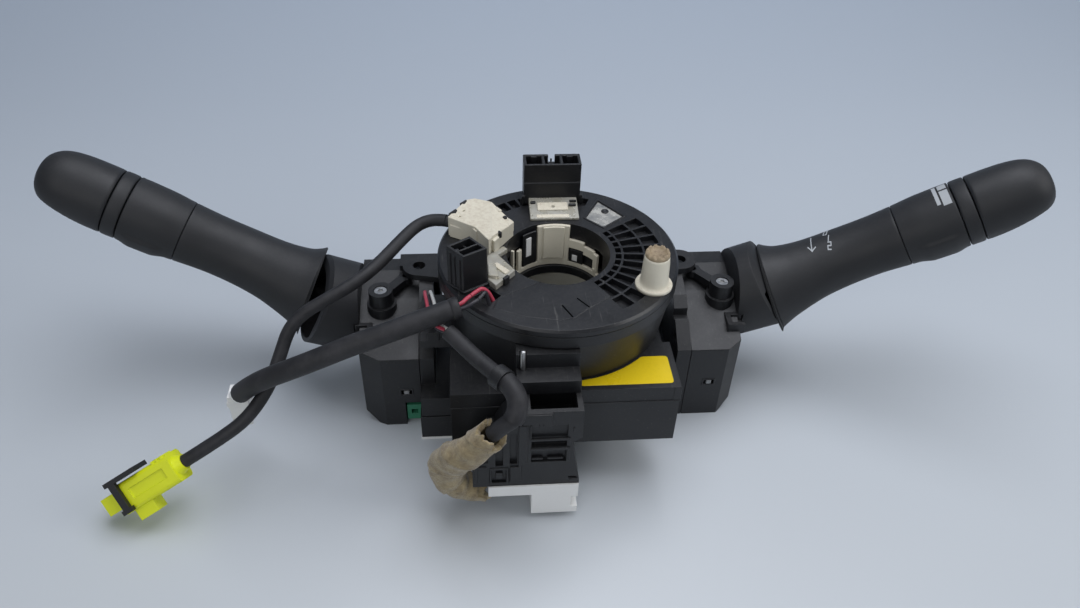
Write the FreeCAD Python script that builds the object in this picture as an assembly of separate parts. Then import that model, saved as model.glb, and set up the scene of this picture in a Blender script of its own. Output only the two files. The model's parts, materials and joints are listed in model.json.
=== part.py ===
import FreeCAD, Part
import math
import os

V = FreeCAD.Vector

# Steering column switch unit: lever switches left and right, steering angle sensor,
# spiral cable reel on top, airbag and wheel leads on the left.
# Frame: the origin is on the steering axis, at the level of the surface the unit stands on.
# +Z points up the column towards the driver, +X to the right lever, -Y to the harness connector.
# All sizes are millimetres.

# Stack along the steering axis
BASE_TOP = 26.2
SENSOR_SEAM = 49.9
SENSOR_TOP = 57.6
REEL_TOP = 88.3
COLUMN_R = 19.5
HUB_BORE_R = 22.5

# Clearances
RUN_GAP = 0.3
SHAFT_FIT = 0.05
SEAT_FIT = 0.02

# Switch base
BASE_HALF_W = 61.9
BASE_FRONT = -24.8
BASE_FRONT_RIGHT = 40.0
BASE_BACK = 38.0
BASE_PLATE = 3.0
BASE_WALL = 2.4
BASE_RIBS = 10
COLLAR_WALL = 3.0
SCREW_HOLE_R = 1.25
TOWER_W = 6.4
SOCKET_LEFT = -(BASE_HALF_W + 0.8)
SOCKET_RIGHT = -(BASE_HALF_W - 14.8)
SOCKET_WALL = 1.8

# Lever switch cases: distances from the steering axis
CASE_INNER = BASE_HALF_W + RUN_GAP
CASE_FRONT_OUTER = CASE_INNER + 17.3
CASE_OUTER = CASE_INNER + 23.8
RIGHT_WINDOW_X = CASE_INNER + 10.6
LEFT_WINDOW_X = CASE_INNER + 6.7
LEFT_NOTCH_W = 7.8
LEFT_CASE_EXTRA = 3.0
CASE_FRONT = -15.4
CASE_CHAMFER_Y = -10.8
CASE_BACK = 40.0
CASE_TOP = 41.6
CASE_WALL = 2.0
ROOF_FRONT = 50.0
ROOF_MID = 53.4
ROOF_BACK = 57.0
POST_X = CASE_INNER + 16.8
POST_Y = 10.0
POST_R = 5.5
POST_TOP = 62.0

# Lever hinges: the two hinge axes of a lever cross at its pivot
PIVOT_X = CASE_INNER + 7.8
LEFT_PIVOT_EXTRA = 5.0
PIVOT_Y = 25.0
PIVOT_Z = 31.0
YOKE_R = 5.6
YOKE_NOSE_R = 9.0
YOKE_BOTTOM = 17.0
YOKE_TOP = 43.5
JOURNAL_R = 4.0
JOURNAL_L = 3.0
TONGUE_W = 8.0
TONGUE_H = 7.0
PITCH_PIN_R = 2.0
NECK_R = 4.0

# Lever outside: the lever frame rises from the pivot, its x runs along the lever
LEVER_RISE = 29.0
RIM_X = 41.3
RIM_SIDE = -5.0
RIM_DROP = 2.0
RIM_R = 21.7
GRIP_X = 105.0
GRIP_SIDE = -8.9
GRIP_DROP = 0.4
GRIP_R = 14.4
GRIP_BEND = 9.0
GRIP_LIFT = 4.2
COLLAR_L = 26.1
RING_L = 6.6
KNOB_L = 32.0
SPINDLE_R = 7.0
SPINDLE_IN_KNOB = 20.0
SEAM = 0.5
COWL_SPHERE = 46.6
COWL_WALL = 2.0
COWL_R = 21.0
COWL_RISE = 27.0
COWL_TURN = 10.0
SIGNAL_SWING = 15.0
BEAM_TILT = 4.1

# Spiral cable reel
REEL_R = 52.0
REEL_WALL = 2.2
REEL_FOOT_R = 47.5
REEL_FLOOR = 2.0
REEL_LIP_Z = 84.9
EAR_X = BASE_HALF_W + 0.1
EAR_Y = 26.4
EAR_R = 7.6
EAR_HOLE_R = 2.9
EAR_TOP = 63.0
EAR_T = 3.0
EAR_TAB = 8.9
RIBBON_T = 0.6
RIBBON_TURNS = 5
ROTOR_RIM = 46.0
ROTOR_DEPTH = 4.2
RIB_T = 1.0
GRID_RINGS = (24.4, 27.9, 37.4, 45.8)
GRID_STEP = 9.5

# Steering angle sensor
SENSOR_HALF_W = 47.6
SENSOR_FRONT = -53.7
SENSOR_SHOULDER = -26.0
SENSOR_TAIL_HALF_W = 44.3
SENSOR_WALL = 2.0
GEAR_MODULE = 1.25
MAIN_TEETH = 44
GEAR_A_TEETH = 16
GEAR_B_TEETH = 15
GEAR_Z = 40.0
GEAR_W = 5.0

# Harness connector in front
CONN_FRONT = -72.0
CONN_BACK = -54.0
CONN_RIGHT = 4.7
CONN_STEP = -18.6
CONN_LEFT = -39.4
CONN_BOTTOM = 21.6
CONN_TOP = 65.0

# Leads
SHEATH_D = 8.5
LEAD_D = 5.6
LEAD_ANGLE = 157.6
ROTOR_REACH = 51.4
WIRE_R = 0.8
LEAD_START_Z = 92.4
PLUG_SIDE = (0.513, -0.528, -0.676)
PLUG_L = 31.0
PLUG_HALF = 6.5
TUBE_D = 6.5


# Shape helpers
def box(x0, x1, y0, y1, z0, z1):
    return Part.makeBox(x1 - x0, y1 - y0, z1 - z0, V(x0, y0, z0))


def cyl(r, z0, z1, x=0.0, y=0.0):
    return Part.makeCylinder(r, z1 - z0, V(x, y, z0))


def rod(r, start, end):
    d = V(*end) - V(*start)
    return Part.makeCylinder(r, d.Length, V(*start), d)


def tube(r_out, r_in, z0, z1, x=0.0, y=0.0):
    return cyl(r_out, z0, z1, x, y).cut(cyl(r_in, z0 - 1, z1 + 1, x, y))


def prism_z(points, z0, z1):
    wire = Part.makePolygon([V(x, y, z0) for x, y in points] + [V(points[0][0], points[0][1], z0)])
    return Part.Face(wire).extrude(V(0, 0, z1 - z0))


def prism_x(points, x0, x1):
    wire = Part.makePolygon([V(x0, y, z) for y, z in points] + [V(x0, *points[0])])
    return Part.Face(wire).extrude(V(x1 - x0, 0, 0))


def prism_y(points, y0, y1):
    wire = Part.makePolygon([V(x, y0, z) for x, z in points] + [V(points[0][0], y0, points[0][1])])
    return Part.Face(wire).extrude(V(0, y1 - y0, 0))


def revolve(points):
    """Solid of revolution about the steering axis from (radius, height) points."""
    wire = Part.makePolygon([V(r, 0, z) for r, z in points] + [V(points[0][0], 0, points[0][1])])
    return Part.Face(wire).revolve(V(0, 0, 0), V(0, 0, 1), 360)


def polar(r, deg, z=0.0):
    return V(r * math.cos(math.radians(deg)), r * math.sin(math.radians(deg)), z)


def ring_sector(r0, r1, a0, a1, z0, z1):
    """Ring piece between two radii and two angles."""
    mid = (a0 + a1) / 2
    edges = [
        Part.makeLine(polar(r0, a0, z0), polar(r1, a0, z0)),
        Part.Arc(polar(r1, a0, z0), polar(r1, mid, z0), polar(r1, a1, z0)).toShape(),
        Part.makeLine(polar(r1, a1, z0), polar(r0, a1, z0)),
        Part.Arc(polar(r0, a1, z0), polar(r0, mid, z0), polar(r0, a0, z0)).toShape(),
    ]
    return Part.Face(Part.Wire(edges)).extrude(V(0, 0, z1 - z0))


def fuse(first, *others):
    return first.fuse(list(others)).removeSplitter()


def cut(first, *others):
    return first.cut(list(others))


def mirrored(shape):
    return shape.mirror(V(0, 0, 0), V(1, 0, 0))


def chain(radius, route):
    """Round tube along straight runs joined by tangent arcs; route is a list of points."""
    pts = [V(*p) for p in route]
    edges, start, radii, length = [], pts[0], [], 0.0
    for i in range(1, len(pts) - 1):
        before, after = pts[i] - pts[i - 1], pts[i + 1] - pts[i]
        turn = before.getAngle(after)
        shorter = min(before.Length, after.Length)
        bend = 0.45 * shorter / math.tan(turn / 2)
        radii.append(bend)
        u, w = V(before).normalize(), V(after).normalize()
        first, last = pts[i] - u * (0.45 * shorter), pts[i] + w * (0.45 * shorter)
        inward = (w - u).normalize()
        middle = pts[i] + inward * (bend / math.cos(turn / 2) - bend)
        edges += [Part.LineSegment(start, first).toShape(), Part.Arc(first, middle, last).toShape()]
        start = last
    edges.append(Part.LineSegment(start, pts[-1]).toShape())
    spine = Part.Wire(edges)
    length = spine.Length
    profile = Part.Face(Part.Wire([Part.makeCircle(radius, pts[0], pts[1] - pts[0])]))
    solid = spine.makePipe(profile)
    print("tube length %.1f, smallest bend %.1f, volume %.0f, section x length %.0f"
          % (length, min(radii), solid.Volume, math.pi * radius ** 2 * length))
    return solid


# Switch base: tray with a collar for the column, ribs below, towers that carry the reel's ears
def switch_base():
    outer = fuse(box(-BASE_HALF_W, BASE_HALF_W, CASE_FRONT, BASE_BACK, 0, BASE_TOP),
                 box(-BASE_HALF_W, BASE_FRONT_RIGHT, BASE_FRONT, 0, 0, BASE_TOP))
    inner = fuse(box(-BASE_HALF_W + BASE_WALL, BASE_HALF_W - BASE_WALL, CASE_FRONT + BASE_WALL,
                     BASE_BACK - BASE_WALL, -1, BASE_TOP - BASE_PLATE),
                 box(-BASE_HALF_W + BASE_WALL, BASE_FRONT_RIGHT - BASE_WALL, BASE_FRONT + BASE_WALL, 0, -1,
                     BASE_TOP - BASE_PLATE))
    tray = cut(outer, inner)
    ribs = []
    for i in range(BASE_RIBS):
        rib = box(COLUMN_R + 1, 2 * BASE_HALF_W, -RIB_T, RIB_T, 4, BASE_TOP - 1)
        rib.rotate(V(0, 0, 0), V(0, 0, 1), 18 + i * 360 / BASE_RIBS)
        ribs.append(rib.common(outer))
    base = fuse(tray, cyl(COLUMN_R + COLLAR_WALL, 0, BASE_TOP), *ribs)
    towers = []
    for side in (-1, 1):
        tower = prism_x([(EAR_Y + 7, BASE_TOP - 1), (EAR_Y + 7, EAR_TOP - EAR_T), (EAR_Y - 8, EAR_TOP - EAR_T),
                         (6.5, 57.4), (CASE_FRONT, 42), (CASE_FRONT, BASE_TOP - 1)],
                        side * (BASE_HALF_W - TOWER_W), side * BASE_HALF_W)
        reach = sorted((side * (BASE_HALF_W - 12), side * (BASE_HALF_W + 2)))
        windows = [box(*reach, y, y + 4, z, z + 4.0)
                   for y, z in ((-3, 49.5), (-9, 42.0))]
        towers.append(cut(tower, *windows))
        towers.append(cyl(5.0, BASE_TOP - 1, EAR_TOP - EAR_T, side * (EAR_X - 5.2), EAR_Y))
    base = fuse(base, *towers)
    holes = [cyl(EAR_HOLE_R, EAR_TOP - 20, EAR_TOP, side * EAR_X, EAR_Y) for side in (-1, 1)]
    notch = box(-BASE_HALF_W - 1, -BASE_HALF_W + 15.5, BASE_FRONT - 1, BASE_FRONT + 14, -1, 15.0)
    bore = cyl(COLUMN_R, -1, BASE_TOP + 1)
    return cut(base, bore, notch, *holes)


# Left auxiliary socket: open downwards, pale rim piece around its mouth
def socket_mouth(z0, z1):
    return box(SOCKET_LEFT + SOCKET_WALL, SOCKET_RIGHT - SOCKET_WALL, BASE_FRONT + 1.5, -13.0, z0, z1)


def left_socket():
    body = box(SOCKET_LEFT, SOCKET_RIGHT, BASE_FRONT - 0.3, -11.2, 1.2, 14.5)
    return cut(body, socket_mouth(0, 12.0))


def left_socket_rim():
    rim = box(SOCKET_LEFT - 0.3, SOCKET_RIGHT + 0.3, BASE_FRONT - 0.6, -11.2, 0, 1.2)
    return cut(rim, socket_mouth(-1, 2))


# Lever switches are drawn on the right; the left one sits further out and is mirrored
class Side:
    def __init__(self, name, sign, case_extra, pivot_extra, window_x, swing, tilt, cowl_lift):
        self.name = name
        self.sign = sign
        self.outer = CASE_OUTER + case_extra
        self.pivot = V(PIVOT_X + pivot_extra, PIVOT_Y, PIVOT_Z)
        self.window_x = window_x
        self.swing = swing
        self.tilt = tilt
        self.cowl_lift = cowl_lift

    def place(self, shape):
        """Fixed piece drawn on the right, put on its own side."""
        return mirrored(shape) if self.sign < 0 else shape

    def outline(self, inset=0.0):
        return [(CASE_INNER + inset, CASE_FRONT + inset), (CASE_FRONT_OUTER - inset / 2, CASE_FRONT + inset),
                (self.outer - inset, CASE_CHAMFER_Y + inset / 2), (self.outer - inset, CASE_BACK - inset),
                (CASE_INNER + inset, CASE_BACK - inset)]

    def turned(self, shape):
        """Upright piece of the lever: follows the swing only."""
        placed = shape.copy()
        placed.rotate(self.pivot, V(0, 0, 1), self.swing)
        return self.place(placed)

    def raised(self, shape, rise=LEVER_RISE):
        """Piece drawn along x from the pivot: raised, tilted and swung to its rest place."""
        placed = shape.copy()
        placed.rotate(V(0, 0, 0), V(0, 1, 0), -(rise - self.tilt))
        placed.translate(self.pivot)
        return self.turned(placed)

    def lever(self, shape):
        """Piece drawn in the lever frame."""
        return self.raised(shape)


RIGHT = Side("right", 1, 0.0, 0.0, RIGHT_WINDOW_X, 0.0, 0.0, 6.0)
LEFT = Side("left", -1, LEFT_CASE_EXTRA, LEFT_PIVOT_EXTRA, LEFT_WINDOW_X, SIGNAL_SWING, BEAM_TILT, 3.0)


def neck_rise():
    """Angle between the lever frame's x and the line from the pivot to the flare's rim."""
    return math.degrees(math.atan2(RIM_DROP, RIM_X))


def neck_turn():
    return math.degrees(math.atan2(-RIM_SIDE, RIM_X))


def mouth(side):
    """Way out of the case for the neck, wide enough for both hinges."""
    return box(side.outer - CASE_WALL - 1, side.outer + 1, PIVOT_Y - 13, PIVOT_Y + 11,
               PIVOT_Z - 1.5, PIVOT_Z + 18.5)


def switch_case(side):
    shell = cut(prism_z(side.outline(), 0, CASE_TOP),
                prism_z(side.outline(CASE_WALL), CASE_WALL, CASE_TOP + 1))
    bevel = prism_y([(side.outer - 6, -1), (side.outer - 6, 0), (side.outer, 6.0), (side.outer + 5, 6.0),
                     (side.outer + 5, -1)], CASE_FRONT - 1, CASE_BACK + 1)
    shell = fuse(shell, prism_y([(side.outer - 9, 0.5), (side.outer - 9, CASE_WALL), (side.outer - 1, 10.0),
                                 (side.outer - 1, 5.0)], CASE_FRONT + 6, CASE_BACK - 1))
    x = side.window_x
    window = box(x - 2.5, x + 2.5, CASE_FRONT - 1, CASE_FRONT + CASE_WALL + 1, 20.0, 22.8)
    clip = box(x - 1.5, x + 1.5, CASE_FRONT + 0.4, CASE_FRONT + CASE_WALL + 0.2, 20.0, 22.0)
    shell = cut(shell, bevel, window, mouth(side))
    boss = cyl(JOURNAL_R + 2.5, CASE_WALL - 0.5, YOKE_BOTTOM - RUN_GAP, side.pivot.x, PIVOT_Y)
    boss = boss.common(prism_z(side.outline(0.5), 0, YOKE_BOTTOM))
    socket = cyl(JOURNAL_R + SHAFT_FIT, YOKE_BOTTOM - JOURNAL_L - 0.5, YOKE_BOTTOM + 1, side.pivot.x, PIVOT_Y)
    shell = cut(fuse(shell, boss, clip), socket)
    if side is LEFT:
        shell = cut(shell, box(CASE_INNER - 1, CASE_INNER + LEFT_NOTCH_W, CASE_FRONT - 1, CASE_FRONT + 9,
                               -1, 14.6))
    return side.place(shell)


def left_contact_plate():
    """Contact carrier of the left switch, seen in the notch of its case."""
    left = -(CASE_INNER + LEFT_NOTCH_W - 0.4)
    plate = box(left, -(CASE_INNER + 0.7), CASE_FRONT + 1.0, CASE_FRONT + 8.6, 2.6, 12.0)
    return cut(plate, box(left + 2.1, left + 5.1, CASE_FRONT, CASE_FRONT + 6, 6.0, 9.0))


def switch_cover(side):
    """Roof of a switch case with the screw post, its foot and the harness clip."""
    roof_line = [(CASE_FRONT, CASE_TOP), (4.0, ROOF_FRONT), (14.0, ROOF_MID), (31.0, ROOF_BACK),
                 (CASE_BACK, ROOF_BACK), (CASE_BACK, CASE_TOP)]
    envelope = prism_x(roof_line[:-1] + [(CASE_BACK, 0), (CASE_FRONT, 0)], CASE_INNER, side.outer)
    envelope = envelope.common(prism_z(side.outline(), 0, POST_TOP))
    block = envelope.common(slab(CASE_TOP, POST_TOP))
    inner_line = [(CASE_FRONT + 6.5, CASE_TOP - 1), (CASE_FRONT + 6.5, CASE_TOP + 0.8), (4.0, ROOF_FRONT - 2.5),
                  (14.0, ROOF_MID - 2.2), (31.0, ROOF_BACK - 2.5), (CASE_BACK - 2, ROOF_BACK - 2.5),
                  (CASE_BACK - 2, CASE_TOP - 1)]
    block = cut(block, prism_x(inner_line, CASE_INNER + CASE_WALL, side.outer - CASE_WALL), mouth(side))
    bearing = cyl(JOURNAL_R + 2.3, YOKE_TOP + RUN_GAP, POST_TOP, side.pivot.x, PIVOT_Y).common(envelope)
    post = fuse(cyl(POST_R, ROOF_MID - 5, POST_TOP, POST_X, POST_Y),
                cyl(POST_R + 1.2, ROOF_MID - 5, ROOF_MID + 1.5, POST_X, POST_Y))
    arm = fuse(box(-2.2, 2.2, 0, 17, POST_TOP - 6, POST_TOP - 2.5),
               cyl(3.2, POST_TOP - 6, POST_TOP - 2.5, 0, 17))
    arm = cut(arm, cyl(1.3, POST_TOP - 7, POST_TOP, 0, 17))
    arm.rotate(V(0, 0, 0), V(0, 0, 1), 38)
    arm.translate(V(POST_X, POST_Y, 0))
    foot = box(side.outer - 6, side.outer + 2, -7, 2, 44.5, 49.5)
    foot = cut(foot, box(side.outer - 3.5, side.outer + 3, -5, 0, 46.5, 51))
    socket = cyl(JOURNAL_R + SHAFT_FIT, YOKE_TOP - 1, YOKE_TOP + JOURNAL_L + 0.3, side.pivot.x, PIVOT_Y)
    recess = cyl(3.0, POST_TOP - 2.0, POST_TOP + 1, POST_X, POST_Y)
    pilot = cyl(SCREW_HOLE_R, POST_TOP - 9, POST_TOP, POST_X, POST_Y)
    return side.place(cut(fuse(block, bearing, post, arm, foot), socket, recess, pilot))


def post_screw():
    head = cyl(2.8, POST_TOP - 2.0, POST_TOP - 0.4, POST_X, POST_Y)
    head = cut(head, cyl(1.2, POST_TOP - 1.2, POST_TOP, POST_X, POST_Y))
    return fuse(head, cyl(SCREW_HOLE_R - SEAT_FIT, POST_TOP - 8.5, POST_TOP - 2.0, POST_X, POST_Y))


def cowl(side):
    """Fixed shroud whose domed end is a sphere about the pivot, so the flare can swing over it."""
    start = side.pivot + V(0, -1, side.cowl_lift)

    def aimed(shape):
        shape.rotate(V(0, 0, 0), V(0, 1, 0), -COWL_RISE)
        shape.rotate(V(0, 0, 0), V(0, 0, 1), -COWL_TURN)
        shape.translate(start)
        return shape

    barrel = aimed(Part.makeCylinder(COWL_R, 60, V(-20, 0, 0), V(1, 0, 0)))
    hollow = aimed(Part.makeCylinder(COWL_R - COWL_WALL, 82, V(-21, 0, 0), V(1, 0, 0)))
    way = (-20.0, 16.0) if side is RIGHT else (-15.0, 20.0)
    slot = box(-20, 80, *way, -17.0, NECK_R + 3)
    slot = aimed(slot.common(Part.makeCylinder(COWL_R - COWL_WALL, 100, V(-20, 0, 0), V(1, 0, 0))))
    dome = barrel.common(Part.makeSphere(COWL_SPHERE, side.pivot))
    inside = hollow.common(Part.makeSphere(COWL_SPHERE - COWL_WALL, side.pivot))
    keep = cut(box(side.outer + 0.05, 150, -60, 100, 8, 100), box(0, side.outer + 2.4, -8, 2.4, 44, 50))
    lid = barrel.common(box(side.outer + 0.05, side.outer + COWL_WALL, -60, 100, CASE_TOP + 8, 100))
    return side.place(fuse(cut(dome, inside, slot).common(keep), lid))


def yoke(side):
    """Lever carrier: turns on upright journals and carries the tongue's cross pin."""
    x, y = side.pivot.x, PIVOT_Y
    half = TONGUE_W / 2 + RUN_GAP
    nose = cyl(YOKE_NOSE_R, YOKE_BOTTOM, YOKE_TOP, x, y).common(box(x - 2.3, x + 20, -99, 99, 0, 99))
    drum = fuse(cyl(YOKE_R, YOKE_BOTTOM, YOKE_TOP, x, y), nose,
                cyl(JOURNAL_R, YOKE_BOTTOM - JOURNAL_L, YOKE_BOTTOM, x, y),
                cyl(JOURNAL_R, YOKE_TOP, YOKE_TOP + JOURNAL_L, x, y))
    slot = box(x - 9, x + YOKE_NOSE_R + 1, y - half, y + half, YOKE_BOTTOM + 4.3, YOKE_TOP - 1.0)
    pin = rod(PITCH_PIN_R, (x, y - YOKE_NOSE_R + 2, PIVOT_Z), (x, y + YOKE_NOSE_R - 2, PIVOT_Z))
    return side.turned(fuse(cut(drum, slot), pin))


def disc_wire(x, y, drop, radius, turn, tip):
    """Round section of the stalk: normal turned towards -y and tipped down, in degrees."""
    wire = Part.Wire([Part.makeCircle(radius, V(0, 0, 0), V(1, 0, 0))])
    wire.rotate(V(0, 0, 0), V(0, 1, 0), tip)
    wire.rotate(V(0, 0, 0), V(0, 0, 1), -turn)
    wire.translate(V(x, y, -drop))
    return wire


# Stalk sections: place along the lever, sideways place, drop, radius, turn, tip
STALK_SECTIONS = (
    (RIM_X, RIM_SIDE, RIM_DROP, RIM_R, 13.0, 1.0),
    (44.4, -5.1, 1.9, 19.9, 11.0, 0.5),
    (49.4, -5.1, 1.9, 17.8, 7.0, 0.0),
    (57.2, -4.9, 1.9, 15.9, 2.0, 0.0),
    (65.5, -4.7, 2.0, 14.7, 1.0, 0.0),
    (78.0, -5.0, 2.0, 14.0, 4.0, -1.0),
    (91.5, -6.7, 1.3, 13.8, GRIP_BEND - 1.0, -GRIP_LIFT + 1.0),
    (GRIP_X - SEAM, GRIP_SIDE, GRIP_DROP, GRIP_R, GRIP_BEND, -GRIP_LIFT),
)


def along_grip(shape):
    """Place a shape drawn from x = 0 at the collar's start along the bent outer axis."""
    placed = shape.copy()
    placed.rotate(V(0, 0, 0), V(0, 1, 0), -GRIP_LIFT)
    placed.rotate(V(0, 0, 0), V(0, 0, 1), -GRIP_BEND)
    placed.translate(V(GRIP_X, GRIP_SIDE, -GRIP_DROP))
    return placed


def stalk():
    """Stalk moulding with its flare, neck and tongue, and the spindle that the grip turns on."""
    body = Part.makeLoft([disc_wire(*section) for section in STALK_SECTIONS], True, False)
    body = cut(body, Part.makeSphere(COWL_SPHERE + 2 * RUN_GAP))
    neck = Part.makeCylinder(NECK_R, 34, V(14, 0, 0), V(1, 0, 0))
    neck.rotate(V(0, 0, 0), V(0, 1, 0), neck_rise())
    neck.rotate(V(0, 0, 0), V(0, 0, 1), -neck_turn())
    tongue = box(-4.0, 17.0, -TONGUE_W / 2, TONGUE_W / 2, -TONGUE_H / 2, TONGUE_H / 2)
    eye = rod(PITCH_PIN_R + SHAFT_FIT, (0, -TONGUE_W, 0), (0, TONGUE_W, 0))
    inner = cut(fuse(neck, tongue), eye)
    spindle_l = COLLAR_L + RING_L + SPINDLE_IN_KNOB
    spindle = along_grip(Part.makeCylinder(SPINDLE_R, spindle_l + 3, V(-3, 0, 0), V(1, 0, 0)))
    return fuse(body, inner, spindle)


def lathe_x(points):
    """Solid of revolution about local x from (x, radius) points with a smooth outer line."""
    outer = Part.BSplineCurve()
    outer.interpolate([V(x, r, 0) for x, r in points])
    x0, x1 = points[0][0], points[-1][0]
    edges = [outer.toShape()]
    if points[-1][1] > 0:
        edges.append(Part.makeLine(V(*points[-1], 0), V(x1, 0, 0)))
    edges += [Part.makeLine(V(x1, 0, 0), V(x0, 0, 0)), Part.makeLine(V(x0, 0, 0), V(*points[0], 0))]
    return Part.Face(Part.Wire(edges)).revolve(V(0, 0, 0), V(1, 0, 0), 360)


def spindle_bore(start, length, fit):
    return Part.makeCylinder(SPINDLE_R + fit, length, V(start, 0, 0), V(1, 0, 0))


def collar():
    """Turning collar with shallow finger scoops."""
    length = COLLAR_L - SEAM
    body = lathe_x([(0, 14.5), (9, 15.3), (18, 15.75), (length, 15.6)])
    scoops = []
    for i in range(6):
        scoop = Part.makeCylinder(26, 16, V(6, 0, 0), V(1, 0, 0))
        scoop.translate(V(0, 40.9, 0))
        scoop.rotate(V(0, 0, 0), V(1, 0, 0), 15 + i * 60)
        scoops.append(scoop)
    return along_grip(cut(body, spindle_bore(-1, length + 2, SHAFT_FIT), *scoops))


def ring():
    """Fixed pointer ring between collar and knob."""
    body = Part.makeCone(15.5, 15.4, RING_L - SEAM, V(COLLAR_L, 0, 0), V(1, 0, 0))
    return along_grip(cut(body, spindle_bore(COLLAR_L - 1, RING_L + 2, SEAT_FIT)))


def knob():
    """End knob: rounded tip with a flat thumb facet on the side that faces down the column."""
    start = COLLAR_L + RING_L
    end = start + KNOB_L
    body = lathe_x([(start, 15.4), (start + 9, 14.9), (start + 18, 13.5), (start + 25, 10.8),
                    (end - 2.8, 7.6), (end - 0.6, 3.6), (end, 0)])
    facet = box(0, 60, -30, 30, -30, 0)
    facet.rotate(V(0, 0, 0), V(0, 1, 0), -13)
    facet.translate(V(start + 3, 0, -14.8))
    facet.rotate(V(0, 0, 0), V(1, 0, 0), -25)
    return along_grip(cut(body, facet, spindle_bore(start - 1, SPINDLE_IN_KNOB + 1.5, SHAFT_FIT)))


# Spiral cable reel
def reel_housing():
    wall = revolve([(27.0, SENSOR_TOP), (REEL_FOOT_R, SENSOR_TOP), (REEL_R - 1, 79.0), (REEL_R, 79.6),
                    (REEL_R, REEL_LIP_Z), (REEL_R - REEL_WALL, REEL_LIP_Z), (REEL_R - REEL_WALL - 1, 79.0),
                    (REEL_FOOT_R - REEL_WALL, SENSOR_TOP + REEL_FLOOR), (27.0, SENSOR_TOP + REEL_FLOOR)])
    solids = []
    for side in (-1, 1):
        ear = fuse(cyl(EAR_R, EAR_TOP - EAR_T, EAR_TOP, side * EAR_X, EAR_Y),
                   prism_z([(side * EAR_X, EAR_Y + EAR_R), (side * (REEL_FOOT_R - 14), EAR_Y + EAR_R),
                            (side * (REEL_FOOT_R - 8), EAR_Y - EAR_R - 5), (side * EAR_X, EAR_Y - EAR_R)],
                           EAR_TOP - EAR_T, EAR_TOP))
        solids.append(ear)
    solids.append(box(-EAR_X - EAR_TAB, -45.0, EAR_Y, EAR_Y + EAR_R + 1.5, EAR_TOP - EAR_T, EAR_TOP))
    tower = fuse(box(-21.0, 4.4, CONN_BACK + SEAT_FIT, -40.0, SENSOR_TOP, 71.5),
                 box(-21.0, 4.4, -62.0, -40.0, CONN_TOP + SEAT_FIT, 71.5))
    ledge = box(-21.0, 4.4, -54.0, -40.0, 71.5, 78.8)
    left_wing = fuse(box(-60.0, -44.0, -25.0, 6.0, SENSOR_TOP, 61.5),
                     box(-57.0, -52.0, -25.0, -21.0, SENSOR_TOP, 66.0),
                     box(-50.2, -48.0, -25.0, -20.0, SENSOR_TOP, 64.5))
    solids += [tower, ledge, left_wing]
    housing = fuse(wall, *solids)
    holes = [cyl(EAR_HOLE_R, EAR_TOP - 10, EAR_TOP + 1, side * EAR_X, EAR_Y) for side in (-1, 1)]
    chamber = revolve([(0, SENSOR_TOP + REEL_FLOOR), (REEL_FOOT_R - REEL_WALL, SENSOR_TOP + REEL_FLOOR),
                       (REEL_R - REEL_WALL - 1, 79.0), (REEL_R - REEL_WALL, REEL_LIP_Z),
                       (REEL_R - REEL_WALL, 100), (0, 100)])
    slit = box(-19.6, -17.0, -55.0, -51.6, 70.7, 80.0)
    return cut(housing, chamber, cyl(27.0, 0, 100), slit, *holes)


def flat_cable():
    """Ribbon wound as a spiral of half rings whose centres step from side to side."""
    inner_r = 28.5
    pitch = 2.6
    z0, z1 = SENSOR_TOP + REEL_FLOOR, 81.5
    turns = []
    for i in range(2 * RIBBON_TURNS):
        radius = inner_r + i * pitch / 2
        centre = 0.0 if i % 2 == 0 else pitch / 2
        a0 = 0 if i % 2 == 0 else 180
        half = ring_sector(radius, radius + RIBBON_T, a0, a0 + 180, z0, z1)
        half.translate(V(-centre, 0, 0))
        turns.append(half)
    return fuse(turns[0], *turns[1:])


def grid_pockets():
    """Open pockets between the ring ribs, from the rear socket round the right to the front."""
    pockets = []
    top = REEL_TOP + 1
    floor = REEL_TOP - ROTOR_DEPTH + 1.4
    for r0, r1 in zip(GRID_RINGS[:-1], GRID_RINGS[1:]):
        angle = 34.0
        while angle > -52.0:
            pad = math.degrees(RIB_T / 2 / ((r0 + r1) / 2))
            if not (r1 > 40 and -46 < angle - GRID_STEP / 2 < -20):
                pockets.append(ring_sector(r0 + RIB_T / 2, r1 - RIB_T / 2, angle - GRID_STEP + pad, angle - pad,
                                           floor, top))
            angle -= GRID_STEP
    for a0, a1 in ((66.0, 71.0), (104.0, 110.0), (111.5, 117.0), (118.5, 124.0)):
        pockets.append(ring_sector(38.5, 45.0, a0, a1, floor, top))
    return pockets


WIRE_FLOOR = 84.5
SECTOR = ((-9.4, -20.6), (-27.2, -30.4), (-29.2, -36.5), (-2.6, -45.3), (2.5, -43.9), (10.0, -37.6),
          (18.8, -31.3), (11.7, -19.4))
WINDOW = ((14.9, 25.5), (22.4, 39.4), (32.3, 26.4), (22.1, 18.1))
SIDE_SOCKET = ((-47.3, -19.4), (-40.7, -27.2), (-31.0, -21.6), (-37.8, -13.0))


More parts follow.
